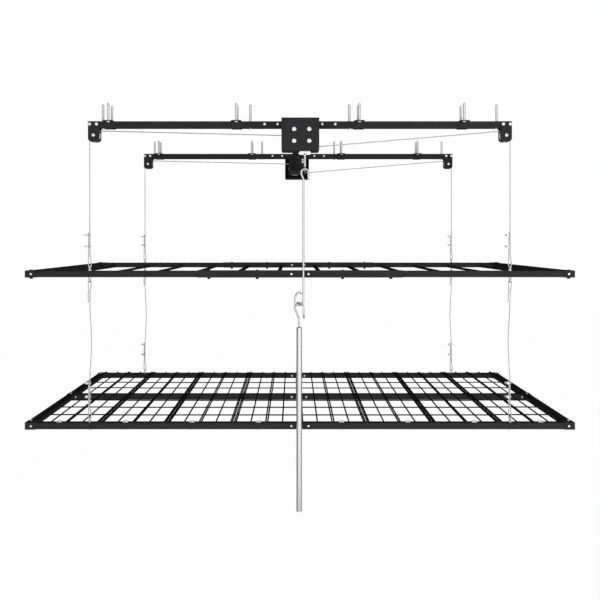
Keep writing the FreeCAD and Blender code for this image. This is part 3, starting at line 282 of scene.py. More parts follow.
def powder_coat(name, dark=0.023, light=0.029, rough=0.62):
    """Black powder coat without shine: fine orange peel and slow changes of tone."""
    coat = Finish(name, Metallic=0.0, Specular_IOR_Level=0.0)
    slow = coat.noise(9.0, 3.0)
    peel = coat.noise(950.0, 2.0)
    coat.set("Base Color", coat.between(slow, grey(dark), grey(light, (1.0, 1.0, 1.08))))
    coat.set("Roughness", slow * 0.12 + peel * 0.06 + (rough - 0.09))
    coat.bumped(peel, 0.05 * MM, 0.6)
    return coat.material


def zinc_plate(name, tone=0.56, rough=0.34):
    """Bright zinc: a faint bloom of darker, cooler patches."""
    zinc = Finish(name, Metallic=1.0)
    bloom = zinc.noise(130.0, 4.0)
    grain = zinc.noise(2600.0, 1.0)
    zinc.set("Base Color", zinc.between(bloom, grey(tone * 0.86, (0.97, 0.99, 1.03)), grey(tone)))
    zinc.set("Roughness", bloom * 0.16 + grain * 0.08 + (rough - 0.12))
    zinc.bumped(grain, 0.01 * MM, 0.5)
    return zinc.material


def drawn_steel(name):
    """Bright steel drawn through a die: long fine lines down its length."""
    steel = Finish(name, Metallic=1.0)
    lines = steel.noise(700.0, 3.0, (1.0, 1.0, 0.006))
    cloud = steel.noise(24.0, 2.0)
    steel.set("Base Color", steel.between(cloud, grey(0.28), grey(0.31)))
    steel.set("Roughness", lines * 0.03 + cloud * 0.06 + 0.24)
    steel.bumped(lines, 0.01 * MM, 0.1)
    return steel.material


def galvanised_rope(name):
    """Galvanised strand: greyer in some patches than in others."""
    rope = Finish(name, Metallic=0.85)
    wires = rope.noise(1500.0, 2.0)
    patches = rope.noise(60.0, 3.0)
    rope.set("Base Color", rope.between(patches, grey(0.3), grey(0.42)))
    rope.set("Roughness", wires * 0.2 + 0.3)
    rope.bumped(wires, 0.08 * MM, 0.7)
    return rope.material


def cast_skin(name, dark, light, metallic, rough=0.5):
    """Cast or moulded skin with a pebbled surface."""
    cast = Finish(name, Metallic=metallic)
    pebble = cast.noise(420.0, 3.0)
    slow = cast.noise(20.0, 2.0)
    cast.set("Base Color", cast.between(slow, dark, light))
    cast.set("Roughness", pebble * 0.15 + (rough - 0.07))
    cast.bumped(pebble, 0.15 * MM, 0.5)
    return cast.material


def turned_metal(name, dark, light, rough=0.28):
    """Turned metal with fine tool marks."""
    turned = Finish(name, Metallic=1.0)
    marks = turned.noise(1800.0, 2.0)
    slow = turned.noise(45.0, 2.0)
    turned.set("Base Color", turned.between(slow, dark, light))
    turned.set("Roughness", marks * 0.12 + (rough - 0.06))
    turned.bumped(marks, 0.02 * MM, 0.4)
    return turned.material


FINISHES = {
    "black_coat": powder_coat("satin black powder coat"),
    "black_bolt": powder_coat("black oxide", 0.01, 0.014, 0.42),
    "zinc": zinc_plate("bright zinc plate", 0.42, 0.36),
    "bright_steel": drawn_steel("drawn steel"),
    "cast_metal": cast_skin("grey casting", grey(0.1), grey(0.16), 0.6),
    "bronze": turned_metal("turned bronze", (0.42, 0.25, 0.1, 1.0), (0.52, 0.33, 0.14, 1.0)),
    "splice_steel": turned_metal("plain steel tube", grey(0.3), grey(0.4), 0.4),
    "wire_rope": galvanised_rope("galvanised wire rope"),
    "aluminium": zinc_plate("pressed aluminium", 0.3, 0.42),
    "pulley_nylon": cast_skin("pale nylon", grey(0.5), grey(0.58), 0.0, 0.42),
    "black_plastic": cast_skin("moulded plastic", grey(0.014), grey(0.02), 0.0, 0.5),
}
SLOT_OF = {part["node"]: part["material_slot"] for part in frame["record"]["subparts"]}
BODIES = frame["record"]["behaviour"]["bodies"]
BODY_OF = {node: body for body, nodes in BODIES.items() for node in nodes}


def finish_cad_nodes():
    """Every CAD node gets the finish of its slot."""
    for name, node in frame["nodes"].items():
        node.data.materials.clear()
        node.data.materials.append(FINISHES[SLOT_OF[name]])


# ---- making pieces ------------------------------------------------------------------------
def piece_from_mesh(name, mesh, slot, body, replaced=(), sharp=35.0):
    """Puts a finished mesh in the scene as a piece that rides on a body, if one is named."""
    piece = bpy.data.objects.new(name, mesh)
    bpy.context.scene.collection.objects.link(piece)
    mesh.materials.clear()
    mesh.materials.append(FINISHES[slot])
    for face in mesh.polygons:
        face.material_index = 0
    mesh.shade_smooth()
    mesh.set_sharp_from_angle(angle=math.radians(sharp))
    if body:
        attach(piece, body)
    if replaced:
        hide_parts(*replaced)
    return piece


def mesh_from(shape):
    """The mesh of a shape under work, which is freed."""
    mesh = bpy.data.meshes.new("shape")
    shape.to_mesh(mesh)
    shape.free()
    return mesh


def evaluated_mesh(source):
    """The plain mesh that an object's modifiers make; the object itself is removed."""
    bpy.context.view_layer.update()
    graph = bpy.context.evaluated_depsgraph_get()
    mesh = bpy.data.meshes.new_from_object(source.evaluated_get(graph))
    bpy.data.objects.remove(source)
    return mesh


def temporary(name, data):
    """An object in the scene that isn't a piece."""
    thing = bpy.data.objects.new(name, data)
    bpy.context.scene.collection.objects.link(thing)
    return thing


def softened(node, width):
    """A CAD node's shape with its sharp edges broken, in place of the node."""
    shape = merged_copy(node)
    bmesh.ops.dissolve_limit(shape, angle_limit=math.radians(0.5),
                             verts=shape.verts, edges=shape.edges)
    source = temporary(node + "_source", mesh_from(shape))
    bevel = source.modifiers.new("edges", "BEVEL")
    bevel.limit_method = "ANGLE"
    bevel.angle_limit = math.radians(50.0)
    bevel.width = width
    bevel.segments = 2
    bevel.miter_outer = "MITER_ARC"
    mesh = evaluated_mesh(source)
    return piece_from_mesh(node + "_formed", mesh, SLOT_OF[node], BODY_OF[node], (node,), 40.0)


# ---- geometry trees -----------------------------------------------------------------------
class Pattern(Tree):
    """A Geometry Nodes tree with named inputs that ends in Realize Instances and Set Material."""

    def __init__(self, name, inputs):
        group = bpy.data.node_groups.new(name, "GeometryNodeTree")
        super().__init__(group)
        group.interface.new_socket("Geometry", in_out="INPUT", socket_type="NodeSocketGeometry")
        for label, kind in inputs.items():
            group.interface.new_socket(label, in_out="INPUT", socket_type="NodeSocket" + kind)
        group.interface.new_socket("Finish", in_out="INPUT", socket_type="NodeSocketMaterial")
        group.interface.new_socket("Geometry", in_out="OUTPUT", socket_type="NodeSocketGeometry")
        self.entry = group.nodes.new("NodeGroupInput")

    def given(self, label):
        return Flow(self, self.entry.outputs[label])

    def end_with(self, geometry):
        whole = self.add("GeometryNodeRealizeInstances", {}, {"Geometry": geometry})
        coated = self.add("GeometryNodeSetMaterial", {},
                          {"Geometry": whole, "Material": self.given("Finish")})
        last = self.tree.nodes.new("NodeGroupOutput")
        self.feed(last.inputs["Geometry"], coated)

    def applied_to(self, source, slot, **values):
        """The plain mesh that the tree makes of an object."""
        modifier = source.modifiers.new("pattern", "NODES")
        modifier.node_group = self.tree
        sockets = {item.name: item.identifier for item in self.tree.interface.items_tree
                   if item.in_out == "INPUT"}
        modifier[sockets["Finish"]] = FINISHES[slot]
        for label, value in values.items():
            modifier[sockets[label.replace("_", " ")]] = value
        return evaluated_mesh(source)


def rope_pattern():
    """Six strands laid round a core along a curve."""
    tree = Pattern("laid rope", {"Rope Radius": "Float", "Lay": "Float", "Step": "Float"})
    radius = tree.given("Rope Radius")
    strand = radius / 3.0
    steps = tree.add("GeometryNodeResampleCurve", {"mode": "LENGTH"},
                     {"Curve": tree.given("Geometry"), "Length": tree.given("Step")})
    copies = tree.tree.nodes.new("GeometryNodeDuplicateElements")
    copies.domain = "SPLINE"
    copies.inputs["Amount"].default_value = 6
    tree.feed(copies.inputs["Geometry"], steps)
    number = Flow(tree, copies.outputs["Duplicate Index"])
    along = tree.add("GeometryNodeSplineParameter", out=1)
    angle = along / tree.given("Lay") * math.tau + number * (math.tau / 6)
    tangent = tree.add("GeometryNodeInputTangent")
    normal = tree.add("GeometryNodeInputNormal")
    side = tree.add("ShaderNodeVectorMath", {"operation": "CROSS_PRODUCT"}, {0: tangent, 1: normal})
    reach = strand * 2.0
    ways = []
    for axis, operation in ((normal, "COSINE"), (side, "SINE")):
        share = tree.add("ShaderNodeMath", {"operation": operation}, {0: angle})
        ways.append(tree.add("ShaderNodeVectorMath", {"operation": "SCALE"},
                             {0: axis, "Scale": reach * share}))
    offset = tree.add("ShaderNodeVectorMath", {"operation": "ADD"}, {0: ways[0], 1: ways[1]})
    laid = tree.add("GeometryNodeSetPosition", {},
                    {"Geometry": Flow(tree, copies.outputs["Geometry"]), "Offset": offset})
    both = tree.tree.nodes.new("GeometryNodeJoinGeometry")
    for part in (laid, steps):
        tree.tree.links.new(part.socket, both.inputs[0])
    section = tree.add("GeometryNodeCurvePrimitiveCircle", {},
                       {"Resolution": 6, "Radius": strand * 1.04})
    tree.end_with(tree.add("GeometryNodeCurveToMesh", {},
                           {"Curve": Flow(tree, both.outputs[0]), "Profile Curve": section,
                            "Fill Caps": True}))
    return tree


def copies_pattern():
    """Copies of one shape on points, each turned as its point says."""
    tree = Pattern("placed copies", {"Shape": "Object"})
    shape = tree.add("GeometryNodeObjectInfo", {"transform_space": "ORIGINAL"},
                     {"Object": tree.given("Shape")}, out="Geometry")
    points = tree.add("GeometryNodeMeshToPoints", {}, {"Mesh": tree.given("Geometry")})
    turn = tree.add("GeometryNodeInputNamedAttribute", {"data_type": "FLOAT_VECTOR"},
                    {"Name": "turn"})
    tree.end_with(tree.add("GeometryNodeInstanceOnPoints", {},
                           {"Points": points, "Instance": shape, "Rotation": turn}))
    return tree


def wires_pattern():
    """Round wires on edges, as thick as their points say, and weld beads on the loose points."""
    tree = Pattern("welded wires", {"Sides": "Int", "Bead Radius": "Float"})
    lines = tree.add("GeometryNodeMeshToCurve", {}, {"Mesh": tree.given("Geometry")})
    thick = tree.add("GeometryNodeInputNamedAttribute", {"data_type": "FLOAT"}, {"Name": "thick"})
    section = tree.add("GeometryNodeCurvePrimitiveCircle", {},
                       {"Resolution": tree.given("Sides"), "Radius": 1.0})
    bars = tree.add("GeometryNodeCurveToMesh", {}, {"Curve": lines, "Profile Curve": section,
                                                    "Scale": thick, "Fill Caps": True})
    weld = tree.add("GeometryNodeInputNamedAttribute", {"data_type": "BOOLEAN"}, {"Name": "weld"})
    points = tree.add("GeometryNodeMeshToPoints", {},
                      {"Mesh": tree.given("Geometry"), "Selection": weld})
    bead = tree.add("GeometryNodeMeshUVSphere", {}, {"Segments": 8, "Rings": 5,
                                                     "Radius": tree.given("Bead Radius")})
    beads = tree.add("GeometryNodeInstanceOnPoints", {}, {"Points": points, "Instance": bead})
    both = tree.tree.nodes.new("GeometryNodeJoinGeometry")
    for part in (bars, beads):
        tree.tree.links.new(part.socket, both.inputs[0])
    tree.end_with(Flow(tree, both.outputs[0]))
    return tree


LAID_ROPE = rope_pattern()
COPIES = copies_pattern()
WELDED_WIRES = wires_pattern()


def copies_of(shape_mesh, name, places, slot, body, replaced, sharp=35.0):
    """One piece made of copies of a mesh; places are (point, Euler turn)."""
    points = bpy.data.meshes.new("points")
    points.from_pydata([tuple(point) for point, turn in places], [], [])
    turns = points.attributes.new("turn", "FLOAT_VECTOR", "POINT")
    for item, (point, turn) in zip(turns.data, places):
        item.vector = turn
    shape = temporary("copied_shape", shape_mesh)
    mesh = COPIES.applied_to(temporary("points", points), slot, Shape=shape)
    bpy.data.objects.remove(shape)
    return piece_from_mesh(name, mesh, slot, body, replaced, sharp)


# ---- turned shapes ------------------------------------------------------------------------
def turned_shape(rings, segments=24):
    """A closed shape from rings (height, radius, sides); 0 sides is round, 6 a hexagon."""
    shape = bmesh.new()
    loops = []
    for height, radius, sides in rings:
        if radius == 0.0:
            loops.append([shape.verts.new((0, 0, height))])
            continue
        loop = []
        for i in range(segments):
            angle = math.tau * i / segments
            reach = radius
            if sides:
                sector = math.tau / sides
                reach = radius / math.cos((angle + sector / 2) % sector - sector / 2)
            loop.append(shape.verts.new((reach * math.cos(angle), reach * math.sin(angle), height)))
        loops.append(loop)
    for low, high in zip(loops, loops[1:]):
        for i in range(segments):
            j = (i + 1) % segments
            corners = [low[i % len(low)], low[j % len(low)],
                       high[j % len(high)], high[i % len(high)]]
            corners = list(dict.fromkeys(corners))
            if len(corners) > 2:
                shape.faces.new(corners)
    bmesh.ops.recalc_face_normals(shape, faces=shape.faces)
    return shape


def threaded_rings(top, bottom, radius, depth, pitch, segments, per_turn=6):
    """A threaded length as a fine grid: the radius follows the thread's ridge round and along."""
    shape = bmesh.new()
    rows = max(2, int(abs(top - bottom) / pitch * per_turn))
    grid = []
    for row in range(rows + 1):
        height = bottom + (top - bottom) * row / rows
        fade = min(1.0, row / per_turn, (rows - row) / per_turn)
        loop = []
        for i in range(segments):
            phase = (height / pitch - i / segments) % 1.0
            ridge = max(0.0, 1.0 - abs(phase - 0.5) / 0.42)
            reach = radius - depth * (1.0 - ridge * fade)
            angle = math.tau * i / segments
            loop.append(shape.verts.new((reach * math.cos(angle), reach * math.sin(angle), height)))
        grid.append(loop)
    for low, high in zip(grid, grid[1:]):
        for i in range(segments):
            j = (i + 1) % segments
            shape.faces.new((low[i], low[j], high[j], high[i]))
    shape.faces.new(grid[0][::-1])
    shape.faces.new(grid[-1])
    return shape


def joined(shapes):
    """Several closed shapes in one mesh."""
    whole = bmesh.new()
    for shape in shapes:
        mesh = mesh_from(shape)
        whole.from_mesh(mesh)
        bpy.data.meshes.remove(mesh)
    return mesh_from(whole)


def hex_nut(top, bottom, flats):
    """A hexagon nut with its corners turned off."""
    half, bevel = flats / 2, flats * 0.06
    return turned_shape([(top, 0.0, 0), (top, half * 0.97, 0), (top - bevel, half, 6),
                         (bottom + bevel, half, 6), (bottom, half * 0.97, 0), (bottom, 0.0, 0)])


def bolt(head_r, head_h, shank_r, length, nut=None):
    """A dome-headed bolt, head up, its seat at 0; nut is (near end from the tip, height, flats)."""
    drive = head_r * 0.42
    floor = head_h * 0.4
    crown = [(head_h * (0.35 + 0.65 * math.cos(a)), head_r * (0.62 + 0.38 * math.sin(a)), 0)
             for a in (math.radians(15 * i) for i in range(7))]
    recess = [(floor, 0.0, 0), (floor, drive, 6), (head_h * 0.97, drive, 6),
              (head_h, drive * 1.22, 0)]
    shank = [(0.0, head_r, 0), (0.0, shank_r, 0), (-length + 0.4 * MM, shank_r, 0),
             (-length, shank_r * 0.85, 0), (-length, 0.0, 0)]
    shapes = [turned_shape(recess + crown + shank)]
    if nut:
        tail, height, flats = nut
        shapes.append(hex_nut(-length + tail + height, -length + tail, flats))
    return joined(shapes)


TURN = {"down_y": (math.pi / 2, 0.0, 0.0), "up_y": (-math.pi / 2, 0.0, 0.0), "up": (0.0, 0.0, 0.0)}


def bolts_along_y(node, head_r, head_h, shank_r, nut=None):
    """Bolts that lie front to back, heads to the front, or to the rear on the rear corners."""
    boxes = solids_of(node)
    length = boxes[0][1].y - boxes[0][0].y - head_h
    rear_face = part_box("corner_brackets")[1][1]
    places = []
    for low, high in boxes:
        at = middle((low, high))
        if node == "frame_screws" and high.y > rear_face + head_h / 2:
            places.append((Vector((at.x, high.y - head_h, at.z)), TURN["up_y"]))
        else:
            places.append((Vector((at.x, low.y + head_h, at.z)), TURN["down_y"]))
    return copies_of(bolt(head_r, head_h, shank_r, length, nut), node + "_made", places,
                     SLOT_OF[node], BODY_OF[node], (node,))


def bolts_upright(node, head_r, head_h, shank_r, nut):
    """Bolts that stand head up."""
    boxes = solids_of(node)
    length = boxes[0][1].z - boxes[0][0].z - head_h
    places = [(Vector((middle(box).x, middle(box).y, box[1].z - head_h)), TURN["up"])
              for box in boxes]
    return copies_of(bolt(head_r, head_h, shank_r, length, nut), node + "_made", places,
                     SLOT_OF[node], BODY_OF[node], (node,))


def fasteners():
    """Every visible screw and bolt: radius and height of the head, radius of the shank, nut."""
    bolts_along_y("rail_joint_bolts", 6.5 * MM, 3.5 * MM, 3.0 * MM, (1.5 * MM, 6.5 * MM, 10.2 * MM))
    bolts_along_y("bracket_bolts", 8.0 * MM, 5.0 * MM, 4.0 * MM, (1.5 * MM, 6.5 * MM, 13.6 * MM))
    bolts_along_y("pulley_axles", 8.0 * MM, 5.0 * MM, 5.0 * MM, (1.5 * MM, 6.5 * MM, 17.0 * MM))
    bolts_along_y("gear_case_bolts", 10.5 * MM, 6.0 * MM, 4.0 * MM)
    bolts_along_y("frame_screws", 5.5 * MM, 3.0 * MM, 2.5 * MM)
    bolts_upright("sleeve_bolts", 6.0 * MM, 3.0 * MM, 3.0 * MM, (1.0 * MM, 6.5 * MM, 13.0 * MM))
    bolts_upright("frame_bolts", 6.0 * MM, 3.0 * MM, 3.0 * MM, (1.0 * MM, 6.5 * MM, 13.0 * MM))
    bolts_upright("clip_screws", 3.6 * MM, 2.2 * MM, 2.0 * MM, (1.3 * MM, 3.2 * MM, 7.0 * MM))


def lag_screws():
    """Hexagon-headed wood screws with a shallow thread, up through the rails and clamps."""
    boxes = solids_of("lag_screws")
    head_h, flats, edge = 5.5 * MM, 14.0 * MM, 0.8 * MM
    neck, crest, pitch, start = 4.2 * MM, 6.0 * MM, 4.0 * MM, 0.5 * MM
    point, point_r = 3.0 * MM, 3.0 * MM
    top = boxes[0][1].z
    for kind, low in (("long", min(b[0].z for b in boxes)), ("short", max(b[0].z for b in boxes))):
        chosen = [b for b in boxes if abs(b[0].z - low) < 1 * MM]
        tip = top - point
        head = turned_shape([(head_h, 0.0, 0), (head_h, flats * 0.4, 0), (head_h, flats / 2, 6),
                             (edge, flats / 2, 6), (0.0, flats * 0.47, 0), (0.0, 0.0, 0)])
        collar = turned_shape([(head_h, 0.0, 0), (head_h, neck, 0), (tip - low, neck, 0),
                               (top - low, point_r, 0), (top - low, 0.0, 0)])
        thread = threaded_rings(tip - low, start - low, crest, crest * 0.1, pitch, 16, 8)
        places = [(Vector((middle(b).x, middle(b).y, low)), TURN["up"]) for b in chosen]
        replaced = ("lag_screws",) if kind == "long" else ()
        copies_of(joined([head, collar, thread]), "lag_screws_" + kind, places, "zinc",
                  "ceiling_frame", replaced)


# ---- ropes --------------------------------------------------------------------------------
def bent_route(corners, step=math.radians(12.0)):
    """Points along straight runs joined by arcs; a corner is (point, bend radius)."""
    route = [corners[0][0]]
    for (before, _), (corner, radius), (after, _) in zip(corners, corners[1:], corners[2:]):
        to_last = (before - corner).normalized()
        to_next = (after - corner).normalized()
        half_turn = (math.pi - to_last.angle(to_next)) / 2
        if half_turn < 1e-5:
            continue
        start = corner + to_last * radius * math.tan(half_turn)
        centre = corner + (to_last + to_next).normalized() * radius / math.cos(half_turn)
        axis = (start - centre).cross(-to_last)
        steps = max(2, math.ceil(2 * half_turn / step))
        for i in range(steps + 1):
            turn = Matrix.Rotation(2 * half_turn * i / steps, 3, axis)
            route.append(centre + turn @ (start - centre))
    route.append(corners[-1][0])
    return route


def curve_through(routes):
    """A curve object of straight pieces through the points of each route."""
    curve = bpy.data.curves.new("route", "CURVE")
    curve.dimensions = "3D"
    for route in routes:
        line = curve.splines.new("POLY")
        line.points.add(len(route) - 1)
        for point, place in zip(line.points, route):
            point.co = (*place, 1.0)
    return temporary("route", curve)


def smooth_lines(routes):
    """Points along the smooth line that each route's points steer."""
    lines = []
    for route in routes:
        curve = bpy.data.curves.new("line", "CURVE")
        curve.dimensions = "3D"
        curve.resolution_u = 10
        line = curve.splines.new("NURBS")
        line.points.add(len(route) - 1)
        for point, place in zip(line.points, route):
            point.co = (*place, 1.0)
        line.order_u = 3
        line.use_endpoint_u = True
        mesh = evaluated_mesh(temporary("line", curve))
        lines.append([vert.co.copy() for vert in mesh.vertices])
        bpy.data.meshes.remove(mesh)
    return lines


def laid_rope(name, routes, body, replaced=()):
    """Ropes of six strands round a core."""
    mesh = LAID_ROPE.applied_to(curve_through(routes), "wire_rope", Rope_Radius=ROPE, Lay=ROPE_LAY,
                                Step=ROPE_LAY / STEPS_PER_LAY)
    return piece_from_mesh(name, mesh, "wire_rope", body, replaced, 80.0)


def tangent_run(s):
    """Points of the rope from the drum to the right (1) or left (-1) pulley, in its plane."""
    over = -s
    reach = Vector((s * PULLEY.x - DRUM.x, PULLEY.z - DRUM.z))
    heading = math.atan2(reach.y, reach.x)
    offset = math.asin((over * (DRUM_PITCH + BODY_GAP) - PULLEY_PITCH) / reach.length)
    across = heading - s * offset + s * math.pi / 2
    normal = Vector((math.cos(across), 0.0, math.sin(across)))
    first = Vector((DRUM.x, 0.0, DRUM.z)) + normal * over * (DRUM_PITCH + BODY_GAP)
    hub = Vector((s * PULLEY.x, 0.0, PULLEY.z))
    end = 0.0 if s > 0 else math.pi
    angles = [across + (end - across) * i / 12 for i in range(13)]
    return [first] + [hub + Vector((math.cos(a), 0.0, math.sin(a))) * PULLEY_PITCH for a in angles]


def hoist_runs():
    """The four ropes from the drums over the end pulleys."""
    routes = []
    for s in (-1, 1):
        swing = Matrix.Rotation(math.atan2(EXIT_OFFSET, EYE_X), 3, "Z")
        about = Vector((s * EYE_X, 0.0, 0.0))
        for side in (-1, 1):
            route = []
            for point in tangent_run(s):
                swung = swing @ (point - about) + about
                route.append(Vector((swung.x, -side * swung.y + side * PULLEY.y, swung.z)))
            routes.append(route)
    laid_rope("hoist_rope_runs", routes, "ceiling_frame", ("rope_runs",))


def drum_windings():
    """The rope turns on both drums, out from the middle."""
    routes = []
    for side in (-1, 1):
        for s in (-1, 1):
            start_angle = math.pi / 2 if s < 0 else -math.pi / 2
            route = []
            for i in range((DRUM_TURNS + 1) * STEPS_PER_TURN):
                turn = i / STEPS_PER_TURN
                angle = start_angle - math.tau * turn
                outward = -s * (EXIT_OFFSET + 2 * ROPE * turn)
                route.append(Vector((DRUM.x + DRUM_PITCH * math.cos(angle),
                                     side * PULLEY.y - side * outward,
                                     DRUM.z + DRUM_PITCH * math.sin(angle))))
            routes.append(route)
    laid_rope("drum_rope_turns", routes, "winch_drive", ("rope_windings",))


def eye_loop(x, y, bend_z, end_z, up):
    """Points of a rope's end round an eye and back; up is 1 where the rope comes from above."""
    near, apart = bend_z + up * EYE_SIDES, bend_z + up * EYE_LENGTH
    far = bend_z - up * ROPE_BEND
    places = [(-STRAND_GAP, end_z), (-STRAND_GAP, apart), (-ROPE_BEND, near), (-ROPE_BEND, far),
              (ROPE_BEND, far), (ROPE_BEND, near), (0.0, apart)]
    return [Vector((x + dx, y, z)) for dx, z in places]


def eye_heights():
    """Where the ropes bend in the upper deck's upper and lower eyes and the lower deck's eyes."""
    inside = EYE_RING - EYE_BAR - ROPE - BODY_GAP
    upper = DECK_TOPS["upper"] + EYE_SEAT + EYE_RING
    under = DECK_TOPS["upper"] - BEAM - EYE_SEAT - EYE_RING - EYE_WASHER
    lower = DECK_TOPS["lower"] + EYE_SEAT + EYE_RING
    return upper + inside + ROPE_BEND, under - inside - ROPE_BEND, lower + inside + ROPE_BEND


def rope_clip_heights():
    """Heights of the rope clips of one rope, from the top down."""
    return sorted({round(middle(box).z, 4) for box in solids_of("rope_clips")}, reverse=True)


def deck_ropes():
    """The clipped ends above the upper deck and the slack ropes between the decks."""
    upper_bend, under_bend, lower_bend = eye_heights()
    heights = rope_clip_heights()
    first_clip, hang_clip = heights[0], heights[2]
    ferrule_foot = under_bend - EYE_LENGTH - FERRULE
    ends, hanging = [], []
    for s in (-1, 1):
        x = s * EYE_X
        bowed = x - s * SLACK
        for y in (-PULLEY.y, PULLEY.y):
            ends.append(eye_loop(x, y, upper_bend, first_clip + ROPE_TAIL, 1)
                        + [Vector((x, y, DROP_END))])
            slack = [(x, ferrule_foot - BOW_LEAD), (bowed, ferrule_foot - BOW_REACH),
                     (bowed, hang_clip + BOW_REACH), (x, hang_clip + BOW_LEAD)]
            hanging.append(eye_loop(x, y, under_bend, ferrule_foot - FERRULE_END, -1)
                           + [Vector((at, y, z)) for at, z in slack]
                           + eye_loop(x, y, lower_bend, hang_clip + ROPE_TAIL, 1)[::-1])
    laid_rope("clipped_rope_ends", smooth_lines(ends), "decks", ("hoist_rope_ends",))
    laid_rope("slack_ropes", smooth_lines(hanging), "decks", ("hanging_ropes",))


def hanging_drops():
    """The hoist ropes from the end pulleys to their clips, drawn at their rest length; on the hoist they lengthen
    as the decks go down.
    """
    for s, hand in ((-1, "left"), (1, "right")):
        for y, side in ((-PULLEY.y, "front"), (PULLEY.y, "rear")):
            top = Vector((s * EYE_X, y, PULLEY.z))
            foot = Vector((s * EYE_X, y, DROP_END))
            replaced = ("rope_drops",) if (hand, side) == ("left", "front") else ()
            rope = laid_rope(side + "_" + hand + "_rope_drop", [[top, foot]], None, replaced)
            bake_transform(rope)


def bar_piece(name, route, radius, body, replaced):
    """A round steel bar along a route, its ends slightly rounded."""
    curve = bpy.data.curves.new(name, "CURVE")
    curve.dimensions = "3D"
    curve.bevel_depth = radius
    curve.bevel_resolution = 5
    curve.use_fill_caps = True
    rounding, blunt = 0.3 * radius, 0.7
    first, last = route[1] - route[0], route[-2] - route[-1]
    points = [route[0], route[0].lerp(route[1], min(1.0, rounding / first.length)), *route[1:-1],
              route[-1].lerp(route[-2], min(1.0, rounding / last.length)), route[-1]]
    line = curve.splines.new("POLY")
    line.points.add(len(points) - 1)
    for point, place in zip(line.points, points):
        point.co = (*place, 1.0)
    line.points[0].radius = line.points[-1].radius = blunt
    mesh = evaluated_mesh(temporary(name, curve))
    return piece_from_mesh(name, mesh, "bright_steel", body, (replaced,), 50.0)


def rope_clips():
    """Forged saddles with U-bolts and nuts on the doubled ropes."""
    bend = ROPE + CLIP_BAR + CLIP_PLAY
    saddle = -STRAND_GAP - ROPE
    tail = saddle - CLIP_BLOCK - CLIP_NUT - CLIP_TIP
    u_route = bent_route([(Vector((tail, -bend, 0)), 0), (Vector((bend, -bend, 0)), bend),
                          (Vector((bend, bend, 0)), bend), (Vector((tail, bend, 0)), 0)])
    curve = curve_through([u_route])
    curve.data.bevel_depth = CLIP_BAR
    curve.data.bevel_resolution = 3
    curve.data.use_fill_caps = True
    whole = bmesh.new()
    whole.from_mesh(evaluated_mesh(curve))
    block = bmesh.ops.create_cube(whole, size=1.0)["verts"]
    size = Vector((CLIP_BLOCK, 2 * (bend + CLIP_BLOCK_SIDE), CLIP_BLOCK_HEIGHT))
    place = Vector((saddle - CLIP_BLOCK / 2, 0, 0))
    for vert in block:
        vert.co = Vector(a * b for a, b in zip(vert.co, size)) + place
    edges = list({edge for vert in block for edge in vert.link_edges})
    bmesh.ops.bevel(whole, geom=edges, offset=CLIP_BLOCK_EDGE, segments=3, affect="EDGES",
                    profile=0.6)
    for s in (-1, 1):
        nut = mesh_from(hex_nut(0.0, -CLIP_NUT, CLIP_NUT_FLATS))
        nut.transform(Matrix.Translation((saddle - CLIP_BLOCK, s * bend, 0))
                      @ Matrix.Rotation(math.pi / 2, 4, "Y"))
        whole.from_mesh(nut)
    places = [(Vector((s * EYE_X, y, z)), TURN["up"])
              for s in (-1, 1) for y in (-PULLEY.y, PULLEY.y) for z in rope_clip_heights()]
    copies_of(mesh_from(whole), "rope_clip_sets", places, "zinc", "decks", ("rope_clips",))


# ---- wire deck ----------------------------------------------------------------------------
def wire_panels():
    """Welded panels: long wires above, cross wires below, a small bead at every crossing."""
    points, thickness, welds = [], [], []
    for low, high in solids_of("wire_panels"):
        edge = (high.x - low.x) / 2 - LONG_WIRE
        inner = edge - EDGE_PAIR
        long_x = [WIRE_PAIR / 2, (WIRE_PAIR / 2 + inner) / 2, inner, edge]
        long_z = high.z - LONG_WIRE
        cross_z = low.z + CROSS_WIRE
        count = int((high.y - BEAM) / CROSS_PITCH)
        cross_y = [i * CROSS_PITCH for i in range(-count, count + 1) if i]
        for y in cross_y:
            points += [(low.x, y, cross_z), (high.x, y, cross_z)]
            thickness += [CROSS_WIRE] * 2
        for x in [middle((low, high)).x + s * dx for dx in long_x for s in (-1, 1)]:
            points += [(x, low.y, long_z), (x, high.y, long_z)]
            thickness += [LONG_WIRE] * 2
            welds += [(x, y, (long_z + cross_z) / 2) for y in cross_y]
    edges = [(i, i + 1) for i in range(0, len(points), 2)]
    mesh = bpy.data.meshes.new("wire_lines")
    mesh.from_pydata(points + welds, edges, [])
    flag = mesh.attributes.new("weld", "BOOLEAN", "POINT")
    flag.data.foreach_set("value", [False] * len(points) + [True] * len(welds))
    thick = mesh.attributes.new("thick", "FLOAT", "POINT")
    thick.data.foreach_set("value", thickness + [0.0] * len(welds))
    made = WELDED_WIRES.applied_to(temporary("wire_lines", mesh), "black_coat",
                                   Sides=WIRE_SIDES, Bead_Radius=WELD_BEAD)
    piece_from_mesh("welded_wire_panels", made, "black_coat", "decks", ("wire_panels",), 50.0)


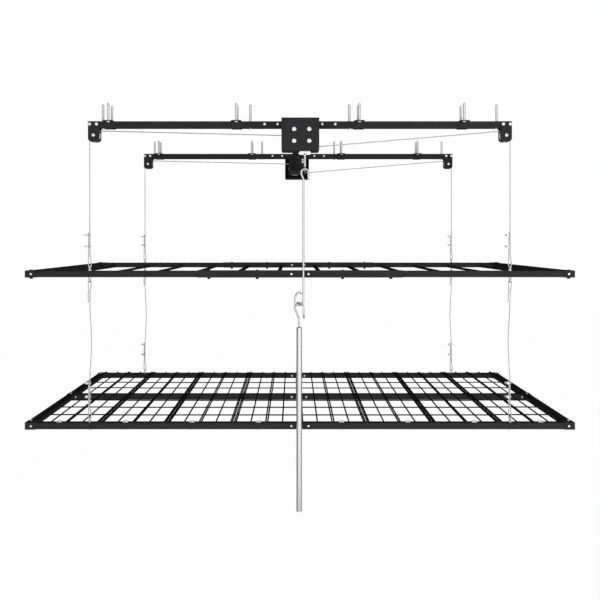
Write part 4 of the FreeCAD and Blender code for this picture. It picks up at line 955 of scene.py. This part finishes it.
# ---- crank --------------------------------------------------------------------------------
def crank_rod():
    """One bent bar: a hook at the top, and at the foot an egg-shaped ring closed on the rod."""
    low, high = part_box("extension_rod")
    y = pivot("worm_turn").y
    crown, outer = high[2] - ROD_BAR, high[0] - ROD_BAR
    rod_x = pivot("worm_turn").x - ROD_OFFSET
    inner, neck = outer - 2 * ROD_HOOK, crown - ROD_HOOK - ROD_NECK_START
    sway = Vector((-math.cos(RING_TURN), -math.sin(RING_TURN), 0.0)) * RING_WIDTH / 2
    centre = Vector((rod_x, y, low[2] + ROD_BAR + RING_WIDTH / 2)) + sway
    hook = [(Vector((outer, y, crown - ROD_HOOK - ROD_HOOK_LEG)), 0),
            (Vector((outer, y, crown)), ROD_HOOK), (Vector((inner, y, crown)), ROD_HOOK),
            (Vector((inner, y, neck)), ROD_NECK_BEND),
            (Vector((rod_x, y, neck - ROD_NECK)), ROD_NECK_BEND), (centre - sway, 0)]
    ring = []
    for angle in range(6, 307, 6):
        turn = -math.radians(angle)
        tall = RING_WIDTH / 2 if angle < 180 else RING_HEIGHT - RING_WIDTH / 2
        ring.append(centre - sway * math.cos(turn) + Vector((0.0, 0.0, tall * math.sin(turn))))
    bar_piece("hooked_rod", bent_route(hook) + ring, ROD_BAR, "crank_rod", "extension_rod")


def pole_hook():
    """Bar bent into a hook at the pole's head; its straight foot stands in the tube."""
    low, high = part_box("pole_hook")
    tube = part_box("pole_tube")
    axis = Vector(((tube[0][0] + tube[1][0]) / 2, (tube[0][1] + tube[1][1]) / 2, 0.0))
    across = Vector((math.cos(RING_TURN), -math.sin(RING_TURN), 0.0))
    crown = high[2] - POLE_BAR
    neck = -POLE_HOOK - POLE_NECK_START
    corners = [(POLE_HOOK + POLE_HOOK_FLARE, -POLE_HOOK - POLE_HOOK_LEG, 0),
               (POLE_HOOK, 0.0, POLE_HOOK), (-POLE_HOOK, 0.0, POLE_HOOK),
               (-POLE_HOOK, neck, POLE_NECK_BENDS[0]),
               (0.0, neck - POLE_NECK, POLE_NECK_BENDS[1]), (0.0, low[2] - crown, 0)]
    route = [(axis + across * aside + Vector((0.0, 0.0, crown + drop)), bend)
             for aside, drop, bend in corners]
    bar_piece("pole_head_hook", bent_route(route), POLE_BAR, "crank_pole", "pole_hook")


# ---- sheet, tube and castings -------------------------------------------------------------
SHEET_AND_TUBE = (
    "front_rail", "rear_rail", "pulley_brackets", "saddle_clamps", "hanger_plates", "hanger_cleats",
    "front_winch_box", "rear_winch_box", "upper_long_beams", "upper_beam_sleeves", "upper_slats",
    "lower_long_beams", "lower_mid_beam", "side_beams", "corner_brackets", "tee_brackets",
    "panel_clips")
CASTINGS = ("gear_case", "input_flange", "rear_bearing", "front_drum", "rear_drum")


def formed_metalwork():
    """Sheet, tube and cast pieces with their edges broken."""
    for node in SHEET_AND_TUBE:
        softened(node, 0.6 * MM)
    for node in CASTINGS:
        softened(node, 1.0 * MM)


# ---- room, light and camera ---------------------------------------------------------------
FLOOR_DROP = 1.6                    # floor below the pole's foot; the decks come down to it
FLOOR_REACH = 30.0
FLOOR_WHITE = 0.985                 # share of plain white that the camera sees in the floor
SOFT_LIGHT = 0.14                   # strength of the world as light
LIT = Vector((0.0, -0.4, -1.1))     # what the lamps face
LAMPS = {                           # place, width, height and watts
    "key": ((2.5, -4.1, -1.1), 4.8, 4.4, 180.0),
    "fill": ((-1.3, -4.3, -1.1), 2.6, 4.4, 86.0),
    "back": ((0.5, 5.0, -2.0), 3.6, 2.4, 60.0),
}


def white_for_camera(tree, surface, strength):
    """Mixes in plain white where the camera, or metal and glass, look at it."""
    rays = tree.tree.nodes.new("ShaderNodeLightPath")
    seen = Flow(tree, rays.outputs["Is Camera Ray"])
    for name in ("Is Glossy Ray", "Is Transmission Ray"):
        seen = tree.add("ShaderNodeMath", {"operation": "MAXIMUM"},
                        {0: seen, 1: Flow(tree, rays.outputs[name])})
    white = tree.add("ShaderNodeEmission", {}, {"Color": grey(1.0), "Strength": 1.0})
    return tree.add("ShaderNodeMixShader", {}, {0: seen * strength, 1: surface, 2: white})


def room():
    """A pale floor, and a world that is white to look at and a soft grey as light."""
    world = bpy.data.worlds.new("room light")
    world.use_nodes = True
    bpy.context.scene.world = world
    tree = Tree(world.node_tree)
    soft = world.node_tree.nodes["Background"]
    soft.inputs["Color"].default_value = grey(1.0)
    soft.inputs["Strength"].default_value = SOFT_LIGHT
    output = world.node_tree.nodes["World Output"]
    tree.feed(output.inputs["Surface"], white_for_camera(tree, Flow(tree, soft.outputs[0]), 1.0))
    floor_z = cad_box[0][2] - FLOOR_DROP
    mesh = bpy.data.meshes.new("floor")
    corners = [(x * FLOOR_REACH, y * FLOOR_REACH, floor_z)
               for x, y in ((-1, -1), (1, -1), (1, 1), (-1, 1))]
    mesh.from_pydata(corners, [], [(0, 1, 2, 3)])
    floor = temporary("floor", mesh)
    material = bpy.data.materials.new("pale floor")
    material.use_nodes = True
    tree = Tree(material.node_tree)
    shader = material.node_tree.nodes["Principled BSDF"]
    shader.inputs["Base Color"].default_value = grey(0.95)
    shader.inputs["Roughness"].default_value = 0.9
    output = material.node_tree.nodes["Material Output"]
    surface = white_for_camera(tree, Flow(tree, shader.outputs[0]), FLOOR_WHITE)
    tree.feed(output.inputs["Surface"], surface)
    mesh.materials.append(material)


def lights():
    """Rectangular lamps, before and behind the rack."""
    for name, (place, width, height, power) in LAMPS.items():
        light = bpy.data.lights.new(name, "AREA")
        light.shape = "RECTANGLE"
        light.size = width
        light.size_y = height
        light.energy = power
        thing = temporary(name, light)
        thing.location = place
        thing.rotation_euler = (LIT - Vector(place)).to_track_quat("-Z", "Y").to_euler()


def camera():
    """Level, a little below the upper deck, in front of the crank side."""
    lens = bpy.data.cameras.new("camera")
    lens.lens = 43.01
    lens.sensor_width = 36.0
    lens.shift_x = 0.0108
    lens.shift_y = -0.0983
    lens.clip_end = 100.0
    thing = temporary("camera", lens)
    thing.location = (-0.02835, -3.7855, -0.531)
    thing.rotation_euler = (math.pi / 2, 0.0, 0.0)
    bpy.context.scene.camera = thing


bpy.context.scene.view_settings.view_transform = "Standard"
camera()
lights()
room()
finish_cad_nodes()
formed_metalwork()
fasteners()
lag_screws()
hoist_runs()
drum_windings()
deck_ropes()
hanging_drops()
rope_clips()
wire_panels()
crank_rod()
pole_hook()
